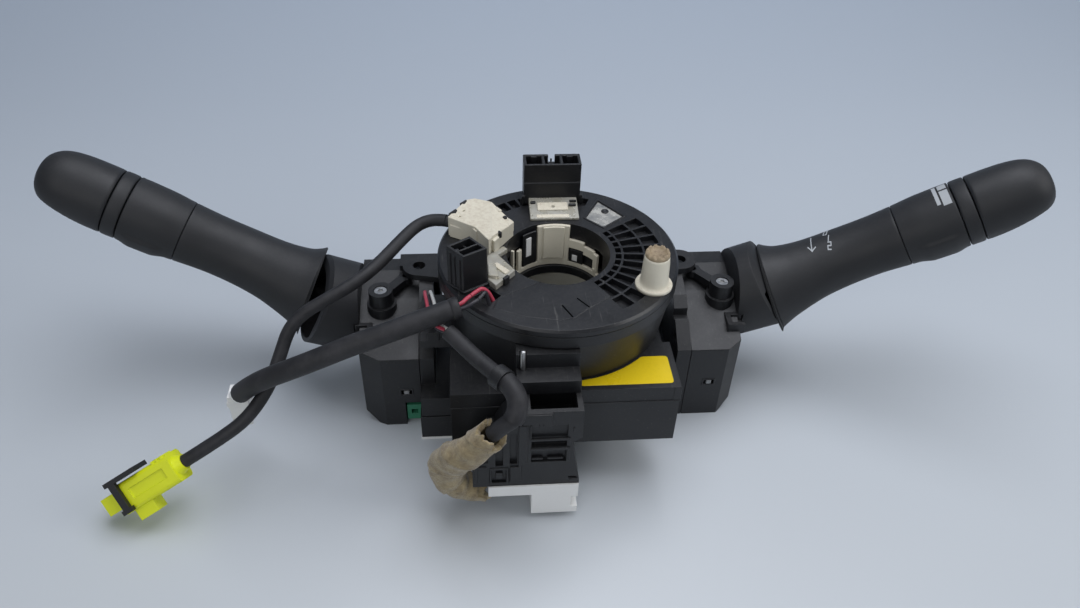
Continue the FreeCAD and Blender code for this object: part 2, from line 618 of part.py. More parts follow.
def rotor_disc():
    under = REEL_TOP - ROTOR_DEPTH
    disc = revolve([(HUB_BORE_R, under - 1.2), (REEL_R - REEL_WALL - 0.8, under - 1.2),
                    (REEL_R - REEL_WALL - 0.8, REEL_LIP_Z + RUN_GAP), (REEL_R, REEL_LIP_Z + RUN_GAP),
                    (REEL_R, REEL_TOP - 1.0), (REEL_R - 1.0, REEL_TOP), (HUB_BORE_R, REEL_TOP)])
    hub = tube(HUB_BORE_R + 2, HUB_BORE_R, 60.0, under)
    seat = tube(HUB_BORE_R + 1, COLUMN_R + 0.3, 62.0, 66.0)
    disc = fuse(disc, hub, seat)
    windows = [ring_sector(HUB_BORE_R - 1, HUB_BORE_R + 3, a, a + 16, 70.0, 80.0) for a in (20, 128, 156, 330)]
    hole = ring_sector(38.5, 46.8, 218.0, 228.0, WIRE_FLOOR, REEL_TOP + 1)
    sector_seat = prism_z(SECTOR, REEL_TOP - 1.2, REEL_TOP + 1)
    window_seat = prism_z(WINDOW, REEL_TOP - 1.5, REEL_TOP + 1)
    return cut(disc, *windows, *grid_pockets(), hole, sector_seat, window_seat)


def sector_cover():
    plate = prism_z(SECTOR, REEL_TOP - 1.2, REEL_TOP)
    cutter = cyl(HUB_BORE_R, 0, 100)
    slits = [box(7.0, 7.6, -42.0, -34.0, REEL_TOP - 0.8, REEL_TOP + 1)]
    return cut(plate, cutter, *slits)


def neutral_window():
    return prism_z(WINDOW, REEL_TOP - 1.5, REEL_TOP - 0.5)


def cancel_sleeve():
    """Pale sleeve in the hub: a ring with a tall back panel, a side arm and two posts."""
    r1, r0 = HUB_BORE_R - SEAT_FIT, HUB_BORE_R - 1.6
    ring_piece = tube(r1, r0, 66.0, 68.5)
    back = ring_sector(r0, r1, 62, 112, 68.4, 86.0)
    arm = fuse(ring_sector(r0, r1, -18, 62.1, 76.0, 80.5), ring_sector(r0, r1, -18, -10, 68.4, 76.1))
    posts = [ring_sector(r0, r1, a, a + 5, 68.4, 82.0) for a in (150, 178)]
    return fuse(ring_piece, back, arm, *posts)


def drive_pin():
    x, y = 37.4, -24.5
    flange = cyl(7.7, REEL_TOP, REEL_TOP + 2.4, x, y)
    cone = Part.makeCone(7.2, 5.6, 3.0, V(x, y, REEL_TOP + 2.4))
    body = cyl(5.6, REEL_TOP + 5.4, REEL_TOP + 16.2, x, y)
    tip = Part.makeCone(5.6, 4.2, 1.5, V(x, y, REEL_TOP + 16.2))
    return fuse(flange, cone, body, tip)


def rear_socket():
    body = box(-12.6, 13.6, 38.9, 48.6, REEL_TOP, 108.5)
    cells = [box(x, x + 7.0, 40.1, 47.0, 92.0, 109.0) for x in (-11.3, -3.0, 5.3)]
    slot = box(-1.0, 2.0, 46.5, 49.0, 104.5, 109.0)
    return cut(body, *cells, slot)


def rear_retainer():
    line = [(38.9, REEL_TOP), (38.9, 91.5), (35.0, 91.5), (24.0, REEL_TOP + 1.2), (24.0, REEL_TOP)]
    return prism_x(line, -10.4, 11.8)


def side_socket():
    body = prism_z(SIDE_SOCKET, REEL_TOP, 107.0)
    cx = sum(p[0] for p in SIDE_SOCKET) / 4
    cy = sum(p[1] for p in SIDE_SOCKET) / 4
    shrink = 0.76
    cell = [(cx + (x - cx) * shrink, cy + (y - cy) * shrink) for x, y in SIDE_SOCKET]
    return cut(body, prism_z(cell, 92.0, 108.0))


def side_retainer():
    outline = [(-30.8, -21.3), (-30.8, -5.0), (-26.5, -4.0), (-19.4, -15.6), (-27.8, -25.5)]
    plate = prism_z(outline, REEL_TOP, REEL_TOP + 4.5)
    return plate


def lead_plug():
    outline = [(-47.2, 14.4), (-39.0, 27.7), (-35.2, 28.8), (-27.8, 25.8), (-18.6, 12.7), (-30.0, -3.4), (-35.5, 6.3)]
    body = prism_z(outline, REEL_TOP, 98.0)
    slope = prism_y([(-30.0, 98.5), (-10.0, 92.5), (-10.0, 100.0), (-30.0, 100.0)], -10, 40)
    holes = [cyl(1.3, 96.0, 99.0, x, y) for x, y in ((-40.5, 23.0), (-43.8, 15.5))]
    return cut(body, slope, *holes)


def lead_stub():
    """First piece of the thin lead, on the plug; it turns with the rotor."""
    inner, outer = polar(43.5, LEAD_ANGLE, LEAD_START_Z), polar(ROTOR_REACH, LEAD_ANGLE, LEAD_START_Z)
    return cut(rod(LEAD_D / 2, inner, outer), lead_plug())


RED_ANGLE, RED_Z = 222.5, 93.6
DARK_ANGLE, DARK_Z = 227.0, 93.9


def wire_end(angle, z, beyond):
    """Point where a wire crosses from the rotor to the fixed sheath."""
    p = polar(ROTOR_REACH + beyond, angle, z)
    return p.x, p.y, p.z


def rotor_wires():
    red = chain(WIRE_R, [(-33.2, -29.4, WIRE_FLOOR + 0.1), (-33.4, -29.8, 90.6), wire_end(RED_ANGLE, RED_Z, -3.5),
                         wire_end(RED_ANGLE, RED_Z, 0)])
    dark = chain(WIRE_R, [(-31.6, -32.2, WIRE_FLOOR + 0.1), (-31.8, -32.6, 91.0), wire_end(DARK_ANGLE, DARK_Z, -3.5),
                          wire_end(DARK_ANGLE, DARK_Z, 0)])
    return Part.makeCompound([red, dark])


def sheath_wires():
    """The same two wires beyond the rotor, up to the mouth of the thick sheath."""
    gap = RUN_GAP + 0.1
    red = chain(WIRE_R, [wire_end(RED_ANGLE, RED_Z, gap), wire_end(RED_ANGLE, RED_Z, 2.5), (-41.2, -38.6, 93.2),
                         (-43.45, -39.6, 92.75)])
    dark = chain(WIRE_R, [wire_end(DARK_ANGLE, DARK_Z, gap), wire_end(DARK_ANGLE, DARK_Z, 2.5), (-40.0, -40.6, 92.6),
                          (-43.07, -41.3, 91.95)])
    return Part.makeCompound([red, dark])


# Steering angle sensor
def sensor_plan(inset=0.0):
    """Plan of the sensor box: wide front part, narrower tail rounded about the axis."""
    front = box(-SENSOR_HALF_W + inset, SENSOR_HALF_W - inset, SENSOR_FRONT + inset, SENSOR_SHOULDER - inset, 0, 100)
    tail = fuse(box(-SENSOR_TAIL_HALF_W + inset, SENSOR_TAIL_HALF_W - inset, SENSOR_SHOULDER - inset - 1, 0, 0, 100),
                cyl(SENSOR_TAIL_HALF_W - inset, 0, 100))
    return fuse(front, tail)


def slab(z0, z1):
    return box(-200, 200, -200, 200, z0, z1)


def sensor_case():
    shell = sensor_plan().common(slab(BASE_TOP, SENSOR_SEAM))
    hollow = sensor_plan(SENSOR_WALL).common(slab(BASE_TOP + SENSOR_WALL, SENSOR_SEAM + 1))
    case = cut(shell, hollow)
    posts = [cyl(2.0, BASE_TOP + 1, GEAR_Z + GEAR_W + 1, *gear_centre(n)) for n in (GEAR_A_TEETH, GEAR_B_TEETH)]
    collars = [cyl(3.4, BASE_TOP + 1, GEAR_Z - RUN_GAP, *gear_centre(n)) for n in (GEAR_A_TEETH, GEAR_B_TEETH)]
    case = fuse(case, tube(COLUMN_R + 2.0, COLUMN_R + 0.5, BASE_TOP, GEAR_Z - 1), *posts, *collars)
    return cut(case, cyl(COLUMN_R + 0.5, 0, 100))


def sensor_cover():
    lid = sensor_plan().common(slab(SENSOR_SEAM, SENSOR_TOP))
    hollow = sensor_plan(SENSOR_WALL).common(slab(SENSOR_SEAM - 1, SENSOR_TOP - SENSOR_WALL))
    return cut(lid, hollow, cyl(26.0, 0, 100))


def gear_centre(teeth):
    """Measuring gears sit in front of the main gear, one on each side."""
    reach = GEAR_MODULE * (MAIN_TEETH + teeth) / 2
    angle = -58.0 if teeth == GEAR_A_TEETH else -122.0
    centre = polar(reach, angle)
    return centre.x, centre.y


def gear(teeth, bore, width, phase):
    """Straight-toothed gear about the origin; phase turns the first tooth, in degrees."""
    pitch_r = GEAR_MODULE * teeth / 2
    tip_r, root_r = pitch_r + 0.85 * GEAR_MODULE, pitch_r - 1.15 * GEAR_MODULE
    step = 360.0 / teeth
    points = []
    for i in range(teeth):
        a = phase + i * step
        for r, da in ((root_r, -0.36), (tip_r, -0.11), (tip_r, 0.11), (root_r, 0.36)):
            p = polar(r, a + da * step)
            points.append((p.x, p.y))
    return cut(prism_z(points, GEAR_Z, GEAR_Z + width), cyl(bore, 0, 100))


def sensor_main_gear():
    wheel = gear(MAIN_TEETH, HUB_BORE_R - 0.5, GEAR_W, -58.0)
    return fuse(wheel, tube(HUB_BORE_R + 2, HUB_BORE_R - 0.5, GEAR_Z, 60.0))


def measuring_gear(teeth, angle):
    """Meshes at the given angle of the main gear: a gap of this gear faces a main tooth."""
    step = 360.0 / teeth
    wheel = gear(teeth, 2.0 + SHAFT_FIT, GEAR_W, 0.0)
    main_step = 360.0 / MAIN_TEETH
    ahead = ((angle + 58.0) / main_step) % 1.0
    wheel.rotate(V(0, 0, 0), V(0, 0, 1), angle + 180 + step / 2 + ahead * step)
    wheel.translate(V(*gear_centre(teeth), 0))
    return wheel


def sensor_board():
    board = box(-40.0, 40.0, -50.5, -33.5, BASE_TOP + SENSOR_WALL, BASE_TOP + SENSOR_WALL + 1.6)
    holes = [cyl(3.7, 0, 100, *gear_centre(n)) for n in (GEAR_A_TEETH, GEAR_B_TEETH)]
    chip = box(-6, 6, -48, -36, BASE_TOP + SENSOR_WALL + 1.6, BASE_TOP + SENSOR_WALL + 3.2)
    return cut(fuse(board, chip), *holes)


# Harness connector block
def front_connector():
    """Harness connector block: tall right part, stepped left part, clips and slots on its face."""
    tall = prism_y([(CONN_STEP, CONN_BOTTOM), (CONN_RIGHT, CONN_BOTTOM), (CONN_RIGHT, 24.0), (0.8, 47.0),
                    (CONN_RIGHT, 50.0), (CONN_RIGHT, CONN_TOP), (CONN_STEP, CONN_TOP)], CONN_FRONT, CONN_BACK)
    low = prism_y([(CONN_LEFT, CONN_BOTTOM), (CONN_STEP + 1, CONN_BOTTOM), (CONN_STEP + 1, 59.0), (-21.2, 59.0),
                   (-24.2, 55.0), (-26.8, 52.0), (-30.0, 44.5), (-33.0, 44.5), (-33.0, 36.4), (CONN_LEFT, 35.0)],
                  CONN_FRONT, CONN_BACK)
    body = fuse(tall, low)
    # boxes on the front face: left, right, bottom, top, depth
    cuts = ((-15.7, -1.2, 49.4, 57.6, 1.2), (-15.6, -1.4, 44.8, 49.4, 2.2), (-15.5, -1.2, 36.0, 43.3, 1.6),
            (-24.2, -21.2, 35.4, 53.5, 1.6), (-30.0, -26.9, 34.4, 46.0, 1.6), (-32.5, -24.3, 23.6, 32.5, 0.8),
            (-29.8, -27.1, 25.4, 29.9, 2.4), (-15.6, -12.5, 57.7, 60.0, 2.0), (0.0, 3.4, 25.2, 26.2, 1.5))
    pockets = [box(x0, x1, CONN_FRONT - 1, CONN_FRONT + d, z0, z1) for x0, x1, z0, z1, d in cuts]
    raised_box = box(CONN_STEP, -7.6, CONN_FRONT - 0.8, CONN_FRONT + 1, 60.0, CONN_TOP)
    cavity = box(-31.5, 3.0, CONN_FRONT + 3.0, CONN_BACK - 2.0, CONN_BOTTOM - 1, CONN_BOTTOM + 10)
    top_well = box(-16.0, 2.4, CONN_FRONT + 2.0, CONN_BACK - 3.0, CONN_TOP - 12, CONN_TOP + 1)
    return cut(fuse(body, raised_box), *pockets, cavity, top_well)


def white_connector():
    strip = box(-33.0, CONN_RIGHT, CONN_FRONT - 0.7, CONN_BACK, 15.8, CONN_BOTTOM)
    drop = box(-15.0, CONN_RIGHT, CONN_FRONT - 0.7, CONN_BACK, 3.3, 16.0)
    cell = box(-13.2, 0.0, CONN_FRONT + 1.1, CONN_BACK - 1.8, 2.0, 14.5)
    notch = box(1.8, CONN_RIGHT + 1, CONN_FRONT - 1, CONN_BACK + 1, 7.0, 13.5)
    return cut(fuse(strip, drop), cell, notch)


# Leads and what is on them
LOWER_TUBE = [(-47.2, -45.4, 84.7), (-37.4, -55.5, 80.4), (-30.3, -63.5, 79.4), (-24.0, -70.4, 79.2),
              (-21.1, -76.9, 76.0), (-22.6, -80.4, 71.2), (-27.0, -80.3, 67.6), (-31.3, -79.6, 62.2)]
THICK_SHEATH = [(-43.5, -40.0, 92.0), (-59.2, -44.3, 89.0), (-74.0, -46.4, 84.3), (-86.0, -47.9, 80.5),
                (-97.3, -48.5, 75.5), (-108.0, -48.3, 70.4), (-120.8, -45.3, 62.4), (-129.2, -42.0, 54.9),
                (-135.0, -37.5, 46.8)]
THIN_LEAD = [(-47.89, 19.74, 92.4), (-52.3, 21.1, 92.2), (-57.3, 20.7, 91.5), (-61.7, 18.4, 90.4), (-66.9, 12.3, 88.7),
             (-72.9, 4.4, 86.4), (-79.6, -4.8, 84.6), (-88.0, -11.8, 82.2), (-98.7, -16.9, 78.6),
             (-107.6, -19.8, 74.6), (-114.0, -22.9, 68.8), (-118.0, -27.5, 59.6), (-122.4, -37.6, 50.6),
             (-131.0, -47.8, 42.3), (-142.7, -53.3, 36.1), (-157.8, -56.6, 27.4)]
TAPE_WRAP = [(-31.55, -79.56, 61.89), (-37.2, -78.6, 54.8), (-44.0, -75.8, 46.0), (-48.8, -70.6, 36.5),
             (-50.0, -68.0, 26.8), (-46.6, -66.9, 18.6), (-40.4, -66.0, 14.4), (-34.6, -65.3, 13.3)]
BASE_WIRES = [(-57.2, 0.3, 61.95), (-57.1, -1.0, 68.8), (-56.4, -8.0, 72.8), (-55.0, -17.0, 75.2),
              (-54.0, -26.5, 77.8), (-52.9, -35.5, 81.0), (-50.9, -42.2, 83.9), (-47.75, -44.9, 84.61)]


def tube_clip():
    """Split band that holds the lower tube to the deck."""
    centre, along = V(-29.0, -65.0, 79.3), V(6.1, -7.0, -0.2)
    band = Part.makeCylinder(TUBE_D / 2 + 1.5, 5.0, centre, along)
    bore = Part.makeCylinder(TUBE_D / 2 + RUN_GAP, 7.0, centre - V(along).normalize(), along)
    return cut(band, bore)


def plug_frame(shape):
    """Place a plug shape drawn with x along the plug, y down its side and z towards the viewer."""
    a = (V(*THIN_LEAD[-1]) - V(*THIN_LEAD[-2])).normalize()
    w = V(*PLUG_SIDE)
    w = (w - a * w.dot(a)).normalize()
    d = a.cross(w)
    start = V(*THIN_LEAD[-1])
    placed = shape.copy()
    placed.transformShape(FreeCAD.Matrix(a.x, w.x, d.x, start.x, a.y, w.y, d.y, start.y, a.z, w.z, d.z, start.z,
                                         0, 0, 0, 1))
    return placed


def yellow_plug():
    """Airbag plug: round cable neck, latch body with a side lug, narrower nose."""
    body = box(3.0, PLUG_L, -PLUG_HALF, PLUG_HALF, -PLUG_HALF + 0.5, PLUG_HALF - 1.0)
    body = body.makeFillet(2.0, [e for e in body.Edges if abs(e.Vertexes[0].X - e.Vertexes[1].X) > 1.0])
    neck = Part.makeCone(3.4, 5.0, 4.0, V(0, 0, 0), V(1, 0, 0))
    nose = box(PLUG_L - 1, PLUG_L + 7.0, -4.4, 3.4, -4.5, 4.0)
    lug = box(18.5, 27.5, PLUG_HALF - 1, PLUG_HALF + 5.0, -3.0, 4.0)
    groove = box(7.0, 24.0, -2.6, 2.0, PLUG_HALF - 1.6, PLUG_HALF)
    ribs = [box(4.6 + i * 2.2, 5.6 + i * 2.2, -PLUG_HALF - 0.6, -2.0, -3.0, PLUG_HALF - 1.4) for i in range(3)]
    return plug_frame(cut(fuse(body, neck, nose, lug, *ribs), groove))


def yellow_plug_lock():
    """Lock clip: a plate on the side of the plug and an arm across it."""
    top = PLUG_HALF - 1.0 + RUN_GAP
    side_y = -PLUG_HALF - RUN_GAP - 0.6
    plate = box(16.0, 31.0, side_y - 2.0, side_y, -3.0, top + 2.0)
    arm = fuse(box(26.5, 29.5, side_y - 2.0, PLUG_HALF - 0.4, top, top + 2.0),
               box(25.5, 30.5, PLUG_HALF - 2.4, PLUG_HALF - 0.4, top, top + 2.0))
    return plug_frame(fuse(plate, arm))


def sheath_plug():
    """Pale plug at the far end of the thick sheath."""
    end, before = V(*THICK_SHEATH[-1]), V(*THICK_SHEATH[-2])
    neck = Part.makeCylinder(3.2, 8.0, end, end - before)
    body = box(-141.5, -133.5, -37.0, -29.0, 27.0, 43.6)
    lip = box(-142.0, -133.0, -37.5, -28.5, 38.0, 41.0)
    return fuse(body, lip, neck)


def write(name, shape):
    solids = shape.Solids
    print("%-22s solids %d valid %s volume %.0f" % (name, len(solids), shape.isValid(), shape.Volume))
    shape.exportStep("parts/%s.step" % name)


def main():
    os.makedirs("parts", exist_ok=True)
    screw = post_screw()
    nodes = {
        "switch_base": switch_base(),
        "left_socket": left_socket(),
        "left_socket_rim": left_socket_rim(),
        "left_contact_plate": left_contact_plate(),
        "post_screws": Part.makeCompound([screw, mirrored(screw)]),
        "reel_housing": reel_housing(),
        "flat_cable": flat_cable(),
        "rotor_disc": rotor_disc(),
        "sector_cover": sector_cover(),
        "neutral_window": neutral_window(),
        "cancel_sleeve": cancel_sleeve(),
        "drive_pin": drive_pin(),
        "rear_socket": rear_socket(),
        "rear_retainer": rear_retainer(),
        "side_socket": side_socket(),
        "side_retainer": side_retainer(),
        "lead_plug": lead_plug(),
        "lead_stub": lead_stub(),
        "rotor_wires": rotor_wires(),
        "sensor_case": sensor_case(),
        "sensor_cover": sensor_cover(),
        "sensor_main_gear": sensor_main_gear(),
        "sensor_gear_a": measuring_gear(GEAR_A_TEETH, -58.0),
        "sensor_gear_b": measuring_gear(GEAR_B_TEETH, -122.0),
        "sensor_board": sensor_board(),
        "front_connector": front_connector(),
        "white_connector": white_connector(),
        "sheath_wires": sheath_wires(),
        "base_wires": chain(1.4, BASE_WIRES),
        "lower_tube": chain(TUBE_D / 2, LOWER_TUBE),
        "tube_clip": tube_clip(),
        "tape_wrap": chain(6.3, TAPE_WRAP),
        "thick_sheath": chain(SHEATH_D / 2, THICK_SHEATH),
        "thin_lead": chain(LEAD_D / 2, THIN_LEAD),
        "yellow_plug": yellow_plug(),
        "yellow_plug_lock": yellow_plug_lock(),
        "sheath_plug": sheath_plug(),
    }
    lever_pieces = (("stalk", stalk()), ("collar", collar()), ("ring", ring()), ("knob", knob()))
    for side in (RIGHT, LEFT):
        nodes[side.name + "_switch_case"] = switch_case(side)
        nodes[side.name + "_switch_cover"] = switch_cover(side)
        nodes[side.name + "_cowl"] = cowl(side)
        nodes[side.name + "_lever_yoke"] = yoke(side)
        for name, piece in lever_pieces:
            nodes[side.name + "_" + name] = side.lever(piece)
    for name, shape in nodes.items():
        write(name, shape)


main()
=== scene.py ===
import json
import logging
import math
from dataclasses import dataclass
from enum import Enum
from typing import Any, Callable, Iterable, Optional, Sequence

import bpy
import numpy as np
from mathutils import Matrix, Vector
from mathutils.geometry import tessellate_polygon

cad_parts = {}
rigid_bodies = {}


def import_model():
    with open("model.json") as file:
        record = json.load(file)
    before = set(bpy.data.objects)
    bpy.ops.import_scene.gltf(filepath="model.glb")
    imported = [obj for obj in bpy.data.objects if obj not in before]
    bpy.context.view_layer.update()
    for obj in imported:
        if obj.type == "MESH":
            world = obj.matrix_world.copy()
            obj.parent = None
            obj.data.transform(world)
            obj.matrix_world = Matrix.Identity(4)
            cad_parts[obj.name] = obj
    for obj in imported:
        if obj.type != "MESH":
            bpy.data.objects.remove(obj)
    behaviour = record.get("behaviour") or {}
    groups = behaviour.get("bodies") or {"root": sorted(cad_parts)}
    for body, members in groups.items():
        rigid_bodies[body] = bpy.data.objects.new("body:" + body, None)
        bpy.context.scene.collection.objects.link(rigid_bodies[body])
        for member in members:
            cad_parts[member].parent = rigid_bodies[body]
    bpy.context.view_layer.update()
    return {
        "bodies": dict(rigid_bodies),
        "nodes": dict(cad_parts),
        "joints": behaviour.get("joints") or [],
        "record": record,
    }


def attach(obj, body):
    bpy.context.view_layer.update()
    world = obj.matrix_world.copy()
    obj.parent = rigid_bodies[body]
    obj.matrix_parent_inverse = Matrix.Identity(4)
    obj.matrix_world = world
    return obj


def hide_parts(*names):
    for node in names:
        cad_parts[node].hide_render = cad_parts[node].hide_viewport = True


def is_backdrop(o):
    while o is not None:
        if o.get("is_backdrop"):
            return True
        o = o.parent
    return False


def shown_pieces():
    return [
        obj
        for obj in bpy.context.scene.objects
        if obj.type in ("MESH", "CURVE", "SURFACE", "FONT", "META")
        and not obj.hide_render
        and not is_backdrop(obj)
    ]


LOG = logging.getLogger("switch_unit")
MM = 0.001
TURN = 2 * math.pi
Array = np.ndarray
Point = tuple[float, float, float]


# ---------------- colours and nodes

def linear(hex_colour: str) -> tuple[float, float, float, float]:
    """Turn an sRGB hex colour into a linear RGBA tuple.

    Args:
        hex_colour: Colour such as "#1c1d20".

    Returns:
        Linear red, green, blue and an alpha of one.
    """
    parts = [int(hex_colour[i:i + 2], 16) / 255.0 for i in (1, 3, 5)]
    parts = [p / 12.92 if p <= 0.04045 else ((p + 0.055) / 1.055) ** 2.4 for p in parts]
    return parts[0], parts[1], parts[2], 1.0


def plug_in(tree: bpy.types.NodeTree, node: bpy.types.Node, **inputs: Any) -> bpy.types.Node:
    """Set or link sockets of a node.

    Args:
        tree: Tree that the node is in.
        node: The node.
        inputs: Socket name with underscores, or in0, in1 for a socket number, and its value or source socket.

    Returns:
        The same node.
    """
    for key, value in inputs.items():
        number = key[2:] if key.startswith("in") else ""
        socket = node.inputs[int(number) if number.isdigit() else key.replace("_", " ")]
        if isinstance(value, bpy.types.NodeSocket):
            tree.links.new(value, socket)
        else:
            socket.default_value = value
    return node


def add_node(tree: bpy.types.NodeTree, kind: str, settings: Optional[dict[str, Any]] = None,
             **inputs: Any) -> bpy.types.Node:
    """Add a shader node.

    Args:
        tree: Tree that gets the node.
        kind: Blender's name of the node type, without ShaderNode in front.
        settings: Attributes of the node itself.
        inputs: Sockets as in plug_in.

    Returns:
        The new node.
    """
    node = tree.nodes.new("ShaderNode" + kind)
    for key, value in (settings or {}).items():
        setattr(node, key, value)
    return plug_in(tree, node, **inputs)


class Graph:
    """One new material with its shader, and short ways to add the nodes that the finishes share."""

    def __init__(self, name: str) -> None:
        """Start the material.

        Args:
            name: Name of the material.
        """
        self.material = bpy.data.materials.new(name)
        self.material.use_nodes = True
        self.tree = self.material.node_tree
        self.tree.nodes.clear()
        self.shader = self.add("BsdfPrincipled")
        self.add("OutputMaterial", Surface=self.shader.outputs[0])
        self.spot = self.add("TexCoord").outputs["Object"]

    def add(self, kind: str, settings: Optional[dict[str, Any]] = None, **inputs: Any) -> bpy.types.Node:
        """Add a node as add_node does."""
        return add_node(self.tree, kind, settings, **inputs)

    def noise(self, size_mm: float, detail: float, roughness: float = 0.5, scale: Optional[Point] = None,
              turn: Point = (0.0, 0.0, 0.0)) -> bpy.types.NodeSocket:
        """Noise that repeats over that many millimetres, on object coordinates turned and scaled if asked."""
        spot = self.spot
        if scale is not None:
            spot = self.add("Mapping", Vector=spot, Rotation=turn, Scale=scale).outputs[0]
        return self.add("TexNoise", Vector=spot, Scale=1.0 / (size_mm * MM), Detail=detail,
                        Roughness=roughness).outputs["Fac"]

    def ramp(self, factor: bpy.types.NodeSocket, *stops: tuple[float, Any]) -> bpy.types.NodeSocket:
        """Colour ramp through places and colours; a plain number is a grey level."""
        node = self.add("ValToRGB", in0=factor)
        elements = node.color_ramp.elements
        while len(elements) < len(stops):
            elements.new(0.5)
        for element, (place, colour) in zip(elements, stops):
            element.position = place
            element.color = (colour, colour, colour, 1.0) if isinstance(colour, float) else colour
        return node.outputs["Color"]

    def spread(self, value: bpy.types.NodeSocket, low: float, high: float, start: float = 0.3,
               end: float = 0.7) -> bpy.types.NodeSocket:
        """Map a value between start and end to low and high."""
        return self.add("MapRange", Value=value, From_Min=start, From_Max=end, To_Min=low, To_Max=high).outputs[0]

    def times(self, a: Any, b: Any) -> bpy.types.NodeSocket:
        """Multiply two values."""
        return self.add("Math", {"operation": "MULTIPLY"}, in0=a, in1=b).outputs[0]

    def mix(self, factor: Any, a: Any, b: Any, way: str = "MIX") -> bpy.types.NodeSocket:
        """Mix two colours by a factor."""
        return self.add("Mix", {"data_type": "RGBA", "blend_type": way}, in0=factor, in6=a, in7=b).outputs[2]

    def bump(self, height: bpy.types.NodeSocket, depth_mm: float, strength: float,
             **normal: bpy.types.NodeSocket) -> bpy.types.NodeSocket:
        """Bump of that depth, on a given Normal if there is one."""
        return self.add("Bump", Strength=strength, Distance=depth_mm * MM, Height=height, **normal).outputs[0]

    def rounded(self, radius_mm: float) -> bpy.types.NodeSocket:
        """Normal of edges rounded to that radius."""
        return self.add("Bevel", {"samples": 4}, Radius=radius_mm * MM).outputs[0]

    def done(self, **inputs: Any) -> bpy.types.Material:
        """Plug the results into the shader and return the material."""
        plug_in(self.tree, self.shader, **inputs)
        return self.material


# ---------------- finishes

@dataclass(frozen=True)
class Moulding:
    """Injection moulded plastic with the fine grain of its spark-eroded mould and dust on upward faces."""

    name: str
    colour: str
    roughness: float = 0.5
    grain_mm: float = 0.8
    grain_depth_mm: float = 0.02
    dust: float = 0.06
    dust_colour: str = "#8f8d88"
    edge_mm: float = 0.35
    cloud: float = 0.12
    scuffs: float = 0.0

    def build(self) -> bpy.types.Material:
        """Build the material: clouds over 18 mm, lint and scuffs near 1 mm, grain bump and rounded edges."""
        g = Graph(self.name)
        clouds = g.noise(18.0, 4.0, 0.6)
        base = g.mix(1.0, linear(self.colour), g.ramp(clouds, (0.3, 1.0 - self.cloud), (0.7, 1.0)), "MULTIPLY")
        facing = g.add("SeparateXYZ", in0=g.add("NewGeometry").outputs["Normal"]).outputs["Z"]
        specks = g.ramp(g.noise(1.6, 6.0, 0.72), (0.44, 0.25), (0.68, 1.0))
        amount = g.times(g.times(specks, g.spread(facing, 0.15, 1.0, 0.55, 1.0)), self.dust)
        dirt = linear(self.dust_colour)
        colour = g.mix(amount, base, dirt)
        if self.scuffs > 0.0:
            scratches = g.noise(0.9, 2.0, scale=(1.0, 0.06, 1.0), turn=(0.4, 0.2, 0.9))
            colour = g.mix(g.times(g.ramp(scratches, (0.66, 0.0), (0.74, 1.0)), self.scuffs), colour, dirt)
        grain = g.bump(g.noise(self.grain_mm, 3.0), self.grain_depth_mm, 0.7, Normal=g.rounded(self.edge_mm))
        rough = g.spread(clouds, max(self.roughness - 0.06, 0.05), self.roughness + 0.08)
        return g.done(Base_Color=colour, Roughness=rough, Normal=grain)


@dataclass(frozen=True)
class ClearMoulding:
    """Clear or milky polycarbonate, moulded: gloss with a faint haze and tinted depth."""

    name: str
    colour: str
    haze: float = 0.25
    transmission: float = 0.7

    def build(self) -> bpy.types.Material:
        """Build the material: part see-through gloss whose haze varies over 5 mm."""
        g = Graph(self.name)
        haze = g.noise(5.0, 4.0)
        return g.done(Base_Color=g.ramp(haze, (0.3, linear(self.colour)), (0.8, linear("#f2f0e6"))),
                      Roughness=g.spread(haze, self.haze * 0.6, self.haze * 1.4), Normal=g.rounded(0.3),
                      Transmission_Weight=self.transmission, IOR=1.58)


@dataclass(frozen=True)
class Rubber:
    """Extruded rubber or vinyl tube: dull, with fine pits and handling smears."""

    name: str
    colour: str
    roughness: float = 0.62
    smear: float = 0.12

    def build(self) -> bpy.types.Material:
        """Build the material: smears over 7 mm in colour and gloss, and a bump of pits 0.5 mm apart."""
        g = Graph(self.name)
        smear = g.noise(7.0, 5.0, 0.65)
        amount = g.times(g.ramp(smear, (0.42, 0.0), (0.75, 1.0)), self.smear)
        return g.done(Base_Color=g.mix(amount, linear(self.colour), linear("#77767a")),
                      Roughness=g.spread(smear, self.roughness - 0.1, self.roughness + 0.08),
                      Normal=g.bump(g.noise(0.5, 2.0), 0.03, 0.6))


@dataclass(frozen=True)
class Foam:
    """Brown open-cell foam tape wrapped round a loom: felted and mottled."""

    name: str
    colour: str
    dark: str

    def build(self) -> bpy.types.Material:
        """Build the material: mottling over 4 mm, fibres of half a millimetre, soft bump and a sheen."""
        g = Graph(self.name)
        mottle, fibre = g.noise(4.0, 8.0, 0.7), g.noise(0.45, 4.0, 0.8)
        both = g.add("Math", {"operation": "MULTIPLY_ADD"}, in0=mottle, in1=1.6, in2=fibre).outputs[0]
        colour = g.ramp(mottle, (0.3, linear(self.dark)), (0.55, linear(self.colour)), (0.8, linear("#b6a582")))
        return g.done(Base_Color=colour, Normal=g.bump(both, 0.35, 0.9), Roughness=0.95, Sheen_Weight=0.4,
                      Sheen_Roughness=0.5)


